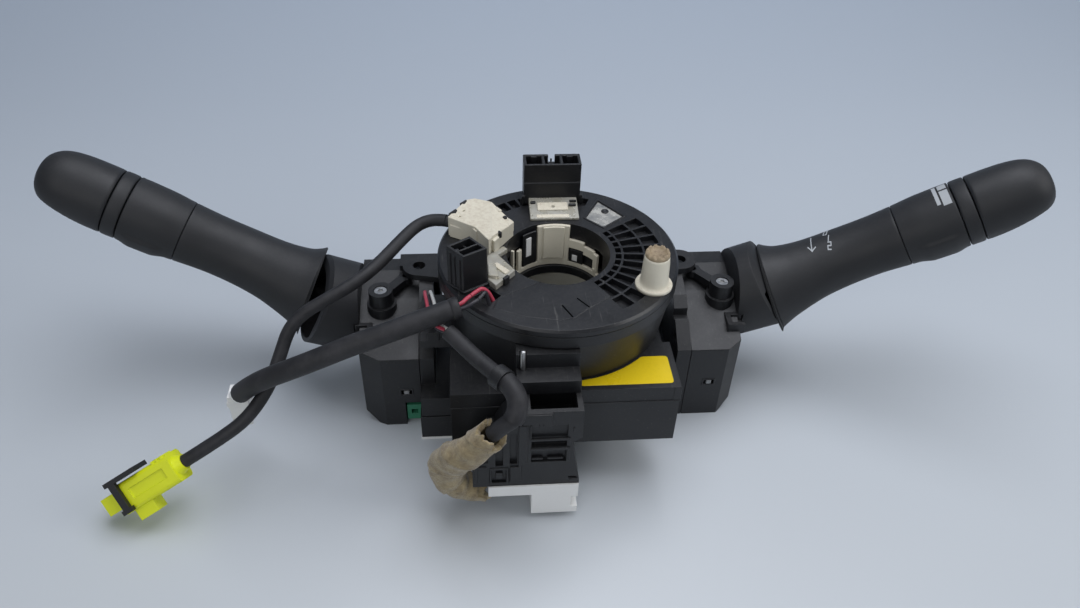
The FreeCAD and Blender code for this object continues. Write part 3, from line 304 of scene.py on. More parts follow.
@dataclass(frozen=True)
class Metal:
    """Stamped or turned metal with a rolled skin: fine lengthwise lines in its gloss."""

    name: str
    colour: str
    roughness: float = 0.35

    def build(self) -> bpy.types.Material:
        """Build the material: metal whose gloss and bump follow lines drawn along x."""
        g = Graph(self.name)
        lines = g.noise(2.0, 3.0, scale=(1.0, 12.0, 12.0))
        return g.done(Base_Color=g.ramp(lines, (0.3, linear(self.colour)), (0.9, linear("#e6e6e4"))),
                      Roughness=g.spread(lines, self.roughness - 0.1, self.roughness + 0.15),
                      Normal=g.bump(lines, 0.02, 0.3), Metallic=1.0)


class Finish(Enum):
    """Finishes on the unit, each named by its real material and process."""

    # black glass-filled nylon, moulded: blue-grey sheen on broad faces
    BLACK_NYLON = Moulding("black_nylon_moulded", "#17181b", roughness=0.42, scuffs=0.10)
    # soft-touch ABS of the levers, finely grained and nearly matt
    GRAINED_ABS = Moulding("grained_lever_abs", "#1d1e21", roughness=0.55, grain_mm=0.7, grain_depth_mm=0.04,
                           dust=0.04, edge_mm=0.5)
    # smoother acetal of the rotor disc, glossy where hands have rubbed it
    ROTOR_ACETAL = Moulding("black_acetal_moulded", "#15161a", roughness=0.34, grain_mm=1.2, scuffs=0.16)
    # undyed polyamide, cream with brown handling dirt
    CREAM_NYLON = Moulding("cream_nylon_moulded", "#e4decb", roughness=0.42, dust=0.35, dust_colour="#8a6a45",
                           cloud=0.05)
    # white connector plastic
    WHITE_PBT = Moulding("white_pbt_moulded", "#f0f0ee", roughness=0.4, dust=0.1, cloud=0.03)
    # pale inner gears and boards' carrier plastic
    INNER_ACETAL = Moulding("natural_acetal_gear", "#d8d5c9", roughness=0.35)
    # glass-epoxy circuit board under green lacquer
    BOARD_LACQUER = Moulding("green_board_lacquer", "#1d5a34", roughness=0.25, grain_mm=2.0)
    # green moulded contact carrier
    GREEN_PBT = Moulding("green_pbt_moulded", "#2f7d5e", roughness=0.4)
    # clear retainers with a yellowed tint
    CLEAR_RETAINER = ClearMoulding("clear_polycarbonate_retainer", "#d8d2bd", haze=0.3, transmission=0.55)
    # smoked neutral window
    SMOKE_WINDOW = ClearMoulding("smoked_polycarbonate_window", "#8b8d8f", haze=0.25, transmission=0.35)
    # vinyl sheath and lead jackets
    VINYL_TUBE = Rubber("black_vinyl_tube", "#1b1b1e")
    RED_WIRE = Rubber("red_wire_insulation", "#b43a4e", roughness=0.45)
    DARK_WIRE = Rubber("dark_wire_insulation", "#26242a", roughness=0.45)
    # felted foam tape
    FOAM_TAPE = Foam("brown_foam_tape", "#9c8c6a", "#6b5a40")
    # polyester flat cable with copper inside
    COPPER_FOIL = Metal("copper_flat_cable", "#b07c4a", roughness=0.3)
    ZINC_STEEL = Metal("zinc_plated_steel", "#a8a9ab")
    # handled crown of the drive pin, stained brown
    WORN_NYLON = Moulding("stained_nylon_crown", "#b3a083", roughness=0.6, dust=0.8, dust_colour="#55422f",
                          cloud=0.3)
    # dull synthetic rubber of wire seals
    SEAL_RUBBER = Rubber("black_seal_rubber", "#141416", roughness=0.7)
    WHITE_WIRE = Rubber("white_wire_insulation", "#cfd0cc", roughness=0.45)
    # yellow polyester label, satin
    LABEL_FILM = Moulding("yellow_label_film", "#efcf17", roughness=0.3, grain_depth_mm=0.005, dust=0.08,
                          dust_colour="#8c7a20", cloud=0.04)
    # pad-printed marks, silver grey
    PAD_INK = Moulding("pad_printed_ink", "#b4b8bb", roughness=0.5, dust=0.05, cloud=0.08)
    GREY_PBT = Moulding("grey_pbt_moulded", "#8f9294", roughness=0.4)
    # bright yellow safety connector
    YELLOW_PBT = Moulding("yellow_pbt_moulded", "#e2ea1c", roughness=0.38, dust=0.12, cloud=0.05,
                          dust_colour="#7d7a30")


SLOT_OF: dict[Finish, str] = {
    Finish.BLACK_NYLON: "black_plastic", Finish.ROTOR_ACETAL: "black_plastic",
    Finish.GRAINED_ABS: "soft_black_plastic", Finish.CREAM_NYLON: "cream_plastic",
    Finish.WORN_NYLON: "cream_plastic", Finish.WHITE_PBT: "cream_plastic",
    Finish.PAD_INK: "cream_plastic", Finish.CLEAR_RETAINER: "clear_plastic", Finish.GREY_PBT: "inner_plastic",
    Finish.LABEL_FILM: "yellow_plastic", Finish.ZINC_STEEL: "plated_steel", Finish.FOAM_TAPE: "foam_tape",
    Finish.VINYL_TUBE: "tube_rubber", Finish.SEAL_RUBBER: "tube_rubber", Finish.RED_WIRE: "wire_insulation",
    Finish.DARK_WIRE: "wire_insulation", Finish.WHITE_WIRE: "wire_insulation",
}


class Wardrobe:
    """Builds each finish once and puts it on pieces."""

    def __init__(self) -> None:
        """Start with no material built."""
        self.made: dict[str, bpy.types.Material] = {}

    def material(self, finish: Finish) -> bpy.types.Material:
        """Return the material of a finish, built on first use."""
        if finish.name not in self.made:
            self.made[finish.name] = finish.value.build()
        return self.made[finish.name]

    def dress(self, piece: bpy.types.Object, finish: Finish) -> None:
        """Give a whole piece one finish."""
        piece.data.materials.clear()
        piece.data.materials.append(self.material(finish))


# ---------------- meshes

def lay_faces(rows: int, columns: int, wrap: bool = False) -> Array:
    """Quads of a grid of points numbered row by row.

    Args:
        rows: Number of rows of points.
        columns: Number of points in a row.
        wrap: Join the last column back to the first.

    Returns:
        Array of four point numbers for each face.
    """
    r = np.arange(rows - 1)[:, None]
    c = np.arange(columns if wrap else columns - 1)[None, :]
    n = (c + 1) % columns
    low, high = r * columns, (r + 1) * columns
    return np.stack([low + c, low + n, high + n, high + c], -1).reshape(-1, 4)


def make_mesh(name: str, points: Array, faces: Iterable[Sequence[int]], smooth: bool = True) -> bpy.types.Object:
    """Make a mesh object from points in millimetres.

    Args:
        name: Name of the piece.
        points: Array of x, y, z in millimetres, in the unit's frame.
        faces: Point numbers of each face.
        smooth: Shade the faces smoothly.

    Returns:
        The new object, at the origin.
    """
    mesh = bpy.data.meshes.new(name)
    mesh.from_pydata((np.asarray(points, float) * MM).tolist(), [], [list(map(int, f)) for f in faces])
    mesh.polygons.foreach_set("use_smooth", np.full(len(mesh.polygons), smooth))
    mesh.update()
    piece = bpy.data.objects.new(name, mesh)
    bpy.context.scene.collection.objects.link(piece)
    return piece


@dataclass
class Shape:
    """Points in millimetres and the faces between them."""

    points: Array
    faces: list[list[int]]

    def placed(self, origin: Sequence[float], x_way: Sequence[float], y_way: Sequence[float],
               z_way: Sequence[float]) -> "Shape":
        """Carry the shape from its own frame to the unit's."""
        frame = np.array([x_way, y_way, z_way], float)
        return Shape(self.points @ frame + np.array(origin, float), self.faces)

    def moved(self, x: float, y: float) -> "Shape":
        """Shift the shape in plan."""
        return Shape(self.points + np.array((x, y, 0.0)), self.faces)

    def along_x(self) -> "Shape":
        """Lay down a shape drawn in y and z, so that its height runs along x."""
        return self.placed((0, 0, 0), (0, 1, 0), (0, 0, 1), (1, 0, 0))

    def on_front(self, y: float) -> "Shape":
        """Stand a shape drawn in x and z on a front face at y; its height is how far it is proud."""
        return self.placed((0, y, 0), (1, 0, 0), (0, 0, 1), (0, -1, 0))

    @staticmethod
    def joined(shapes: Iterable["Shape"]) -> "Shape":
        """Put several shapes into one."""
        points, faces, start = [], [], 0
        for shape in shapes:
            points.append(shape.points)
            faces += [[i + start for i in face] for face in shape.faces]
            start += len(shape.points)
        return Shape(np.concatenate(points), faces)


def loop_area(loop: Array) -> float:
    """Signed area of a closed loop, positive when it runs anticlockwise."""
    after = np.roll(loop, -1, 0)
    return float((loop[:, 0] * after[:, 1] - after[:, 0] * loop[:, 1]).sum() / 2)


def round_loop(corners: Sequence[Sequence[float]], radius: float, anticlockwise: bool = True) -> Array:
    """Closed loop with every corner replaced by a small arc.

    Args:
        corners: Corners of the loop.
        radius: How far along each side the arc starts, at most 0.45 of the side.
        anticlockwise: Which way the loop runs when done.

    Returns:
        Array of points.
    """
    loop = np.asarray(corners, float)
    if (loop_area(loop) > 0) != anticlockwise:
        loop = loop[::-1]
    before, after = np.roll(loop, 1, 0) - loop, np.roll(loop, -1, 0) - loop
    reach = np.minimum(radius, 0.45 * np.minimum(np.linalg.norm(before, axis=1), np.linalg.norm(after, axis=1)))
    first = loop + before / np.linalg.norm(before, axis=1)[:, None] * reach[:, None]
    last = loop + after / np.linalg.norm(after, axis=1)[:, None] * reach[:, None]
    steps = np.linspace(0.0, 1.0, 4)[None, :, None]
    arcs = first[:, None] * (1 - steps) ** 2 + 2 * loop[:, None] * steps * (1 - steps) + last[:, None] * steps ** 2
    return arcs.reshape(-1, 2)


def inset_loop(loop: Array, distance: float) -> Array:
    """Move every side of a closed loop to its left by the distance."""
    side = np.roll(loop, -1, 0) - loop
    side /= np.linalg.norm(side, axis=1)[:, None]
    left = np.stack([-side[:, 1], side[:, 0]], 1)
    before = np.roll(left, 1, 0)
    return loop + distance * (before + left) / (1.0 + (before * left).sum(1))[:, None]


def rectangle(x0: float, x1: float, y0: float, y1: float) -> list[tuple[float, float]]:
    """Corners of a rectangle, anticlockwise."""
    return [(x0, y0), (x1, y0), (x1, y1), (x0, y1)]


def around_circle(count: int) -> Array:
    """Angles of that many equal steps round a circle."""
    return np.linspace(0.0, TURN, count, endpoint=False)


def circle(x: float, y: float, radius: float, count: int = 16) -> list[tuple[float, float]]:
    """Corners of a fine regular polygon."""
    return [(x + radius * math.cos(a), y + radius * math.sin(a)) for a in around_circle(count)]


def sector(r0: float, r1: float, start: float, end: float, step: float = 3.0) -> list[tuple[float, float]]:
    """Corners of a ring sector between two radii and two angles in degrees."""
    a = np.radians(np.linspace(start, end, max(3, int(abs(end - start) / step) + 1)))
    outer = [(r1 * math.cos(v), r1 * math.sin(v)) for v in a]
    return outer + [(r0 * math.cos(v), r0 * math.sin(v)) for v in a[::-1]]


def slab(outline: Sequence[Sequence[float]], low: float, high: float,
         holes: Sequence[Sequence[Sequence[float]]] = (), edge: float = 0.2, radius: float = 0.4) -> Shape:
    """Moulded slab: an outline with holes, raised along z, with rounded corners and broken edges.

    Args:
        outline: Corners of the outline.
        low: Lower height.
        high: Upper height.
        holes: Corners of each hole that goes through.
        edge: Width of the chamfer along every edge.
        radius: Rounding of the corners.

    Returns:
        The closed shape.
    """
    loops = [round_loop(outline, radius)] + [round_loop(hole, radius * 0.6, False) for hole in holes]
    points, faces, bottom = [], [], []
    start = 0
    for loop in loops:
        small, count = inset_loop(loop, edge), len(loop)
        for ring, height in ((small, low), (loop, low + edge), (loop, high - edge), (small, high)):
            points.append(np.column_stack([ring, np.full(count, height)]))
        faces += (lay_faces(4, count, True) + start).tolist()
        bottom += list(range(start, start + count))
        start += 4 * count
    flat = [[Vector((x, y, 0.0)) for x, y in inset_loop(loop, edge)] for loop in loops]
    lift = np.concatenate([np.full(len(loop), 3 * len(loop)) for loop in loops])
    everything = np.concatenate(points)
    for face in tessellate_polygon(flat):
        corner = [bottom[i] for i in face]
        if loop_area(everything[corner, :2]) < 0:
            face, corner = face[::-1], corner[::-1]
        faces.append([bottom[i] + int(lift[i]) for i in face])
        faces.append(corner[::-1])
    return Shape(everything, faces)


def bar(x0: float, x1: float, y0: float, y1: float, z0: float, z1: float, edge: float = 0.2) -> Shape:
    """Rounded bar between six faces."""
    return slab(rectangle(x0, x1, y0, y1), z0, z1, edge=edge, radius=2 * edge)


def lathe(profile: Sequence[tuple[float, float]], around: int = 48,
          lift: Optional[Callable[[Array, Array], Array]] = None) -> Shape:
    """Shape of revolution about z from radius and height rows, which start and end near the axis."""
    rows = np.asarray(profile, float)
    phi = around_circle(around)[None, :]
    r, z = np.repeat(rows[:, :1], around, 1), np.repeat(rows[:, 1:2], around, 1)
    if lift is not None:
        z = z + lift(r, np.repeat(phi, len(rows), 0))
    grid = np.stack([r * np.cos(phi), r * np.sin(phi), z], -1)
    return Shape(grid.reshape(-1, 3), lay_faces(len(rows), around, True).tolist())


@dataclass
class Kit:
    """Turns shapes into dressed pieces that ride on a body."""

    wardrobe: Wardrobe

    def register(self, piece: bpy.types.Object, body: str, finish: Finish, node: str = "", slot: str = "") -> None:
        """Dress a piece, let it ride on a body and hide the solid that it stands for.

        Args:
            piece: The piece.
            body: Body that it rides on.
            finish: Its finish.
            node: Solid that it stands for, or nothing.
            slot: Material slot of the record where it isn't the finish's own; not used.
        """
        self.wardrobe.dress(piece, finish)
        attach(piece, body)
        if node:
            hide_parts(node)

    def add(self, name: str, shapes: Iterable[Shape], body: str, finish: Finish, node: str = "",
            smooth: bool = False) -> None:
        """Make one piece.

        Args:
            name: Name of the piece.
            shapes: Shapes that make it up.
            body: Body that it rides on.
            finish: Its finish.
            node: Solid that it stands for, or nothing.
            smooth: Shade it smoothly.
        """
        shape = Shape.joined(shapes)
        self.register(make_mesh(name, shape.points, shape.faces, smooth), body, finish, node)


# ---------------- studio

@dataclass
class Studio:
    """Pale floor and wall, soft light, and the camera at the photograph's place."""

    camera_at: Point = (-36.642, -301.088, 310.575)
    yaw: float = -5.611
    pitch: float = -39.705
    roll: float = -1.987
    focal_share: float = 868.84 / 1080.0
    floor_hex: str = "#c3c8cc"
    wall_hex: str = "#b0bac6"
    # name, place, target, side in metres, watts and tint of each lamp
    lamps: tuple[tuple[Any, ...], ...] = (
        ("soft_box", (120.0, 150.0, 1100.0), (0.0, 0.0, 40.0), 0.9, 9.0, "#f4f7ff"),
        ("side_fill", (950.0, -250.0, 700.0), (0.0, 0.0, 50.0), 0.6, 3.5, "#ffffff"),
        ("front_fill", (-450.0, -900.0, 650.0), (0.0, 0.0, 40.0), 0.7, 2.6, "#ffffff"))

    def build_camera(self) -> None:
        """Place the camera: yaw about Z, pitch about X, roll about its own axis."""
        data = bpy.data.cameras.new("view")
        data.sensor_width = 36.0
        data.lens = 36.0 * self.focal_share
        data.clip_start, data.clip_end = 0.01, 20.0
        camera = bpy.data.objects.new("view", data)
        turn = (Matrix.Rotation(math.radians(self.yaw), 3, "Z") @ Matrix.Rotation(math.radians(self.pitch), 3, "X")
                @ Matrix.Rotation(math.radians(self.roll), 3, "Y") @ Matrix.Rotation(math.radians(90.0), 3, "X"))
        camera.matrix_world = Matrix.Translation(Vector(self.camera_at) * MM) @ turn.to_4x4()
        bpy.context.scene.collection.objects.link(camera)
        bpy.context.scene.camera = camera

    def build_room(self) -> None:
        """Lay a floor that sweeps up into a wall: flat, then a quarter circle, then straight up."""
        half_width, start, radius = 3000.0, 330.0, 900.0
        width = np.linspace(-half_width, half_width, 3)
        arc = np.linspace(0.0, math.pi / 2, 24)
        profile = np.concatenate([
            [[-2500.0, 0.0], [-400.0, 0.0]],
            np.stack([start + radius * np.sin(arc), radius * (1 - np.cos(arc))], 1),
            [[start + radius, 2600.0]]])
        grid = np.empty((len(profile), len(width), 3))
        grid[..., 0] = width[None, :]
        grid[..., 1:] = profile[:, None, :]
        floor = make_mesh("studio_floor", grid.reshape(-1, 3), lay_faces(len(profile), len(width)))
        g = Graph("painted_floor_sheet")
        near_m, far_m = -0.1, 0.5
        blend = g.spread(g.add("SeparateXYZ", in0=g.spot).outputs["Y"], 0.0, 1.0, near_m, far_m)
        floor.data.materials.append(g.done(
            Base_Color=g.mix(blend, linear(self.floor_hex), linear(self.wall_hex)), Roughness=0.32))
        floor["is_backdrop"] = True

    def add_light(self, name: str, place: Point, target: Point, size: float, power: float, tint: str) -> None:
        """Hang one square soft light.

        Args:
            name: Name of the lamp.
            place: Where it hangs, in millimetres.
            target: Point that it faces, in millimetres.
            size: Side of the square, in metres.
            power: Watts.
            tint: sRGB hex colour of the light.
        """
        data = bpy.data.lights.new(name, "AREA")
        data.size = size
        data.energy = power
        data.color = linear(tint)[:3]
        lamp = bpy.data.objects.new(name, data)
        way = (Vector(target) - Vector(place)).normalized()
        lamp.matrix_world = Matrix.Translation(Vector(place) * MM) @ way.to_track_quat("-Z", "Y").to_matrix().to_4x4()
        bpy.context.scene.collection.objects.link(lamp)

    def build_light(self) -> None:
        """Light the unit with a soft box above, two fills and a pale world."""
        for lamp in self.lamps:
            self.add_light(*lamp)
        world = bpy.data.worlds.new("studio_air")
        world.use_nodes = True
        tree = world.node_tree
        tree.nodes.clear()
        back = add_node(tree, "Background", Color=linear("#dfe6f2"), Strength=0.25)
        add_node(tree, "OutputWorld", Surface=back.outputs[0])
        bpy.context.scene.world = world

    def build(self) -> None:
        """Set the plain view transform and build camera, room and light."""
        bpy.context.scene.view_settings.view_transform = "Standard"
        self.build_camera()
        self.build_room()
        self.build_light()


# ---------------- leads

def make_cord(name: str, route: Sequence[Point], diameter_mm: float) -> bpy.types.Object:
    """Make a round cord as one smooth spline whose control points are the route.

    Args:
        name: Name of the piece.
        route: Control points in millimetres.
        diameter_mm: Diameter of the cord.

    Returns:
        The curve object.
    """
    curve = bpy.data.curves.new(name, "CURVE")
    curve.dimensions = "3D"
    curve.bevel_depth = diameter_mm * MM / 2
    curve.bevel_resolution = 6
    curve.resolution_u = 16
    curve.use_fill_caps = True
    spline = curve.splines.new("NURBS")
    spline.points.add(len(route) - 1)
    for point, place in zip(spline.points, route):
        point.co = (place[0] * MM, place[1] * MM, place[2] * MM, 1.0)
    spline.use_endpoint_u = True
    spline.order_u = 3
    piece = bpy.data.objects.new(name, curve)
    bpy.context.scene.collection.objects.link(piece)
    return piece


def curve_line(piece: bpy.types.Object) -> Array:
    """Read a curve's own centre line as an array of points in millimetres."""
    copy = piece.data.copy()
    copy.bevel_depth = 0.0
    scratch = bpy.data.objects.new("line", copy)
    mesh = bpy.data.meshes.new_from_object(scratch)
    points = np.empty(len(mesh.vertices) * 3)
    mesh.vertices.foreach_get("co", points)
    bpy.data.objects.remove(scratch)
    bpy.data.meshes.remove(mesh)
    bpy.data.curves.remove(copy)
    return points.reshape(-1, 3) / MM


@dataclass
class Leads:
    """The two free leads: the thin one to the yellow plug and the thick sheath with its pale plug."""

    frame: dict[str, Any]
    kit: Kit
    lead_d: float = 5.6
    sheath_d: float = 8.5
    # control points in millimetres, from the upper end to the plug
    thin_route: tuple[Point, ...] = (
        (-47.89, 19.74, 92.4), (-52.3, 21.1, 92.2), (-57.3, 20.7, 91.5), (-61.7, 18.4, 90.4), (-66.9, 12.3, 88.7),
        (-72.9, 4.4, 86.4), (-79.6, -4.8, 84.6), (-88.0, -11.8, 82.2), (-98.7, -16.9, 78.6),
        (-107.6, -19.8, 74.6), (-114.0, -22.9, 68.8), (-118.0, -27.5, 59.6), (-122.4, -37.6, 50.6),
        (-131.0, -47.8, 42.3), (-142.7, -53.3, 36.1), (-157.8, -56.6, 27.4))
    thick_route: tuple[Point, ...] = (
        (-43.5, -40.0, 92.0), (-59.2, -44.3, 89.0), (-74.0, -46.4, 84.3), (-86.0, -47.9, 80.5),
        (-97.3, -48.5, 75.5), (-108.0, -48.3, 70.4), (-120.8, -45.3, 62.4), (-129.2, -42.0, 54.9),
        (-135.0, -37.5, 46.8))

    def declare(self, piece: bpy.types.Object) -> None:
        """Read the cord's own centre line; nothing further is done with it."""
        line = curve_line(piece)

    def build(self) -> None:
        thin = make_cord("thin_lead_jacket", self.thin_route, self.lead_d)
        thick = make_cord("thick_sheath_jacket", self.thick_route, self.sheath_d)
        for piece, node in ((thin, "thin_lead"), (thick, "thick_sheath")):
            self.kit.register(piece, "housing", Finish.VINYL_TUBE, node)
        self.declare(thin)
        self.declare(thick)


# ---------------- levers

def smooth_rows(keys: Array, count: int) -> Array:
    """Spread rows of key values over a smooth curve through them.

    The curve is a cubic Hermite spline over the rows' own numbers, whose slope at a row is half the
    step between its neighbours.

    Args:
        keys: One row of values for each key.
        count: Number of rows wanted.

    Returns:
        Array of count rows.
    """
    keys = np.asarray(keys, float)
    slope = np.gradient(keys, axis=0)
    t = np.linspace(0.0, len(keys) - 1.0, count)
    i = np.minimum(t.astype(int), len(keys) - 2)
    s = (t - i)[:, None]
    return ((2 * s ** 3 - 3 * s ** 2 + 1) * keys[i] + (s ** 3 - 2 * s ** 2 + s) * slope[i]
            + (-2 * s ** 3 + 3 * s ** 2) * keys[i + 1] + (s ** 3 - s ** 2) * slope[i + 1])


def soft_min(a: Array, b: Array, blend: float) -> Array:
    """Smaller of two arrays with the corner between them rounded over the blend width."""
    h = np.clip(0.5 + 0.5 * (b - a) / blend, 0.0, 1.0)
    return b * (1 - h) + a * h - blend * h * (1 - h)


def soft_step(value: Array, start: float, end: float) -> Array:
    """Rise from nought to one between start and end, level at both ends."""
    t = np.clip((value - start) / (end - start), 0.0, 1.0)
    return t * t * (3 - 2 * t)


def turn_y(points: Array, degrees: float) -> Array:
    """Turn points so that +x rises towards +z by that many degrees."""
    a = math.radians(degrees)
    x, z = points[..., 0], points[..., 2]
    return np.stack([x * math.cos(a) - z * math.sin(a), points[..., 1], x * math.sin(a) + z * math.cos(a)], -1)


def turn_z(points: Array, degrees: float) -> Array:
    """Turn points anticlockwise about z by that many degrees."""
    a = math.radians(degrees)
    x, y = points[..., 0], points[..., 1]
    return np.stack([x * math.cos(a) - y * math.sin(a), x * math.sin(a) + y * math.cos(a), points[..., 2]], -1)


def unit_rows(vectors: Array) -> Array:
    """Scale every row to length one."""
    return vectors / np.linalg.norm(vectors, axis=1)[:, None]


def rings_of(centre: Array, radius: Array, side: Array, up: Array, phi: Array) -> Array:
    """Ring of points round each centre.

    Args:
        centre: One centre for each ring.
        radius: One radius for each ring, or for each ring and angle.
        side: Direction of angle nought of each ring.
        up: Direction of a right angle of each ring.
        phi: Angles.

    Returns:
        Grid of points.
    """
    spokes = np.cos(phi)[..., None] * side[:, None] + np.sin(phi)[..., None] * up[:, None]
    return centre[:, None] + radius[..., None] * spokes


def stalk_frames(rows: Array) -> tuple[Array, Array, Array, Array]:
    """Centre, axis and the two cross directions of each stalk section, in the lever frame."""
    turn, tip = np.radians(rows[:, 4]), np.radians(rows[:, 5])
    axis = np.stack([np.cos(turn) * np.cos(tip), -np.sin(turn) * np.cos(tip), -np.sin(tip)], -1)
    side = unit_rows(np.cross(np.array([0.0, 0.0, 1.0]), axis))
    return np.stack([rows[:, 0], rows[:, 1], -rows[:, 2]], -1), axis, side, np.cross(axis, side)


def round_x(x: Array, r: Array, phi: Array) -> Array:
    """Points at radius r and angle phi round the x axis."""
    return np.stack([x, r * np.cos(phi), r * np.sin(phi)], -1)


class Hand(Enum):
    """Side of the column that a lever stands on."""

    RIGHT = "right"
    LEFT = "left"


@dataclass
class Lever:
    """One lever: flared stalk, turning collar, pointer ring and turning end knob.

    The lever frame starts at the hinge centre with x along the lever. The grip frame starts where the
    collar does and follows the bent outer end.
    """

    hand: Hand
    kit: Kit
    rise: float = 29.0
    grip_at: Point = (105.0, -8.9, -0.4)
    grip_bend: float = 9.0
    grip_lift: float = 4.2
    hollow_r: float = 47.2
    collar_l: float = 25.6
    ring_l: float = 6.1
    seam: float = 0.5
    around: int = 128
    # x, y and drop of the centre, radius, turn and tip in degrees of each section
    sections: tuple[tuple[float, ...], ...] = (
        (41.3, -5.0, 2.0, 21.7, 13.0, 1.0), (44.4, -5.1, 1.9, 19.9, 11.0, 0.5), (49.4, -5.1, 1.9, 17.8, 7.0, 0.0),
        (57.2, -4.9, 1.9, 15.9, 2.0, 0.0), (65.5, -4.7, 2.0, 14.7, 1.0, 0.0), (78.0, -5.0, 2.0, 14.0, 4.0, -1.0),
        (91.5, -6.7, 1.3, 13.8, 8.0, -3.2), (104.5, -8.9, 0.4, 14.4, 9.0, -4.2))

    def __post_init__(self) -> None:
        """Set this hand's hinge, the angles at which the lever rests, its side and its thumb crease."""
        hinge_x, self.swing, self.tilt, self.sign, self.crease = {
            Hand.RIGHT: (70.0, 0.0, 0.0, 1.0, 168.0), Hand.LEFT: (75.0, 15.0, 4.1, -1.0, 182.0)}[self.hand]
        self.pivot = np.array((hinge_x, 25.0, 31.0))

    def to_unit(self, points: Array) -> Array:
        """Carry lever-frame points into the unit's frame: raise, swing about the hinge, mirror if left."""
        placed = turn_z(turn_y(points, self.rise - self.tilt), self.swing) + self.pivot
        placed[..., 0] *= self.sign
        return placed

    def grip_to_unit(self, points: Array) -> Array:
        """Carry grip-frame points into the unit's frame."""
        return self.to_unit(turn_z(turn_y(points, self.grip_lift), -self.grip_bend) + np.array(self.grip_at))

    def skin(self, part: str, grid: Array, finish: Finish = Finish.GRAINED_ABS) -> None:
        """Close a grid of rings into a piece, dress it and let it ride.

        Args:
            part: Name of the piece after the hand; it starts with the name of the solid that it stands for.
            grid: Rings of points in the unit's frame; the first and last ring are capped at their centres.
            finish: Its finish.
        """
        rows, columns = grid.shape[:2]
        points = np.concatenate([grid.reshape(-1, 3), grid[0].mean(0)[None], grid[-1].mean(0)[None]])
        faces = lay_faces(rows, columns, True).tolist()
        ring = np.arange(columns)
        nxt = (ring + 1) % columns
        faces += np.stack([nxt, ring, np.full(columns, rows * columns)], 1).tolist()
        last = (rows - 1) * columns
        faces += np.stack([last + ring, last + nxt, np.full(columns, rows * columns + 1)], 1).tolist()
        if self.sign > 0:
            faces = [f[::-1] for f in faces]
        solid, hand = part.split("_")[0], self.hand.value
        body = solid if solid in ("collar", "knob") else "lever"
        self.kit.register(make_mesh(f"{hand}_{part}", points, faces), f"{hand}_{body}", finish, f"{hand}_{solid}",
                          SLOT_OF[Finish.GRAINED_ABS])

    def angles(self) -> Array:
        """Angles round a section, from +y towards +z."""
        return around_circle(self.around)

    def turned(self, profile: Array, swell: Optional[Callable[[Array, Array], Array]] = None) -> Array:
        """Rings about the grip axis in the unit's frame.

        Args:
            profile: Rows of x along the grip and radius.
            swell: Function of x and angle that gives what is added to the radius.

        Returns:
            Grid of points.
        """
        phi = self.angles()[None, :]
        x = np.repeat(profile[:, :1], self.around, 1)
        r = np.repeat(profile[:, 1:2], self.around, 1)
        if swell is not None:
            r = r + swell(x, np.repeat(phi, len(profile), 0))
        return self.grip_to_unit(round_x(x, r, phi))

    def build_stalk(self) -> None:
        """Stalk skin: hollow face on a sphere about the hinge, rolled rim and flare."""
        rows = smooth_rows(np.array(self.sections), 90)
        centre, axis, side, up = stalk_frames(rows)
        outer = rings_of(centre, rows[:, 3:4], side, up, self.angles()[None, :])
        quarter = np.linspace(0.0, 1.0, 4) * math.pi / 2
        rim, end = outer[0], outer[-1]
        middle, end_middle = rim.mean(0), end.mean(0)
        rolled = [rim + (middle - rim) * (0.012 * (1 - math.cos(a))) - axis[0] * 0.5 * math.sin(a) for a in quarter]
        way = rolled[-1] - middle
        inner = [unit_rows(middle + way * share) * self.hollow_r for share in np.linspace(0.985, 0.02, 22)]
        mouth = [end_middle + (end - end_middle) * (1 - 0.02 * (1 - math.cos(a))) + axis[-1] * 0.35 * math.sin(a)
                 for a in quarter[1:]]
        mouth += [end_middle + (mouth[-1] - end_middle) * s for s in (0.8, 0.55, 0.1)]
        grid = np.stack(inner[::-1] + rolled[::-1] + list(outer[1:]) + mouth)
        reach = np.linalg.norm(grid, axis=-1, keepdims=True)
        self.skin("stalk_skin", self.to_unit(grid * np.maximum(self.hollow_r / reach, 1.0)))

    def build_neck(self) -> None:
        """Slim neck inside the flare, from the hinge to the hollow face."""
        along = np.array([[14.0, 0.0], [14.2, 3.8], [30.0, 4.0], [47.0, 4.0], [47.1, 0.0]])
        phi = self.angles()[::4][None, :]
        neck = round_x(np.repeat(along[:, :1], phi.size, 1), along[:, 1:], phi)
        x, y, drop = self.sections[0][:3]
        rise, turn_in = (math.degrees(math.atan2(v, x)) for v in (drop, -y))
        self.skin("stalk_neck", self.to_unit(turn_z(turn_y(neck, -rise), -turn_in)), Finish.BLACK_NYLON)

    def pad_swell(self, x: Array, phi: Array) -> Array:
        """Thumb pad: the skin swells by about a millimetre below a crease and melts away beneath."""
        below = (phi - math.radians(self.crease)) % TURN
        rise = soft_step(below, 0.0, 0.10) * (1 - soft_step(below, 1.2, 2.3))
        along = soft_step(x, 3.0, 10.0) * (1 - soft_step(x, 19.0, 25.0))
        return rise * along

    def build_collar(self) -> None:
        """Turning collar: barrel profile with rounded ends and a creased thumb pad."""
        body = smooth_rows(np.array([(0.0, 14.45), (4.0, 14.75), (9.0, 15.15), (14.0, 15.3), (20.0, 15.35),
                                     (25.6, 15.3)]), 60)
        start = np.array([(0.9, 7.3), (0.0, 13.3), (0.02, 14.1), (0.15, 14.35)])
        end = np.array([(25.5, 15.15), (25.6, 14.9), (25.2, 14.0), (24.8, 7.3)])
        body = body[(body[:, 0] > 0.3) & (body[:, 0] < 25.3)]
        self.skin("collar_skin", self.turned(np.concatenate([start, body, end]), self.pad_swell))

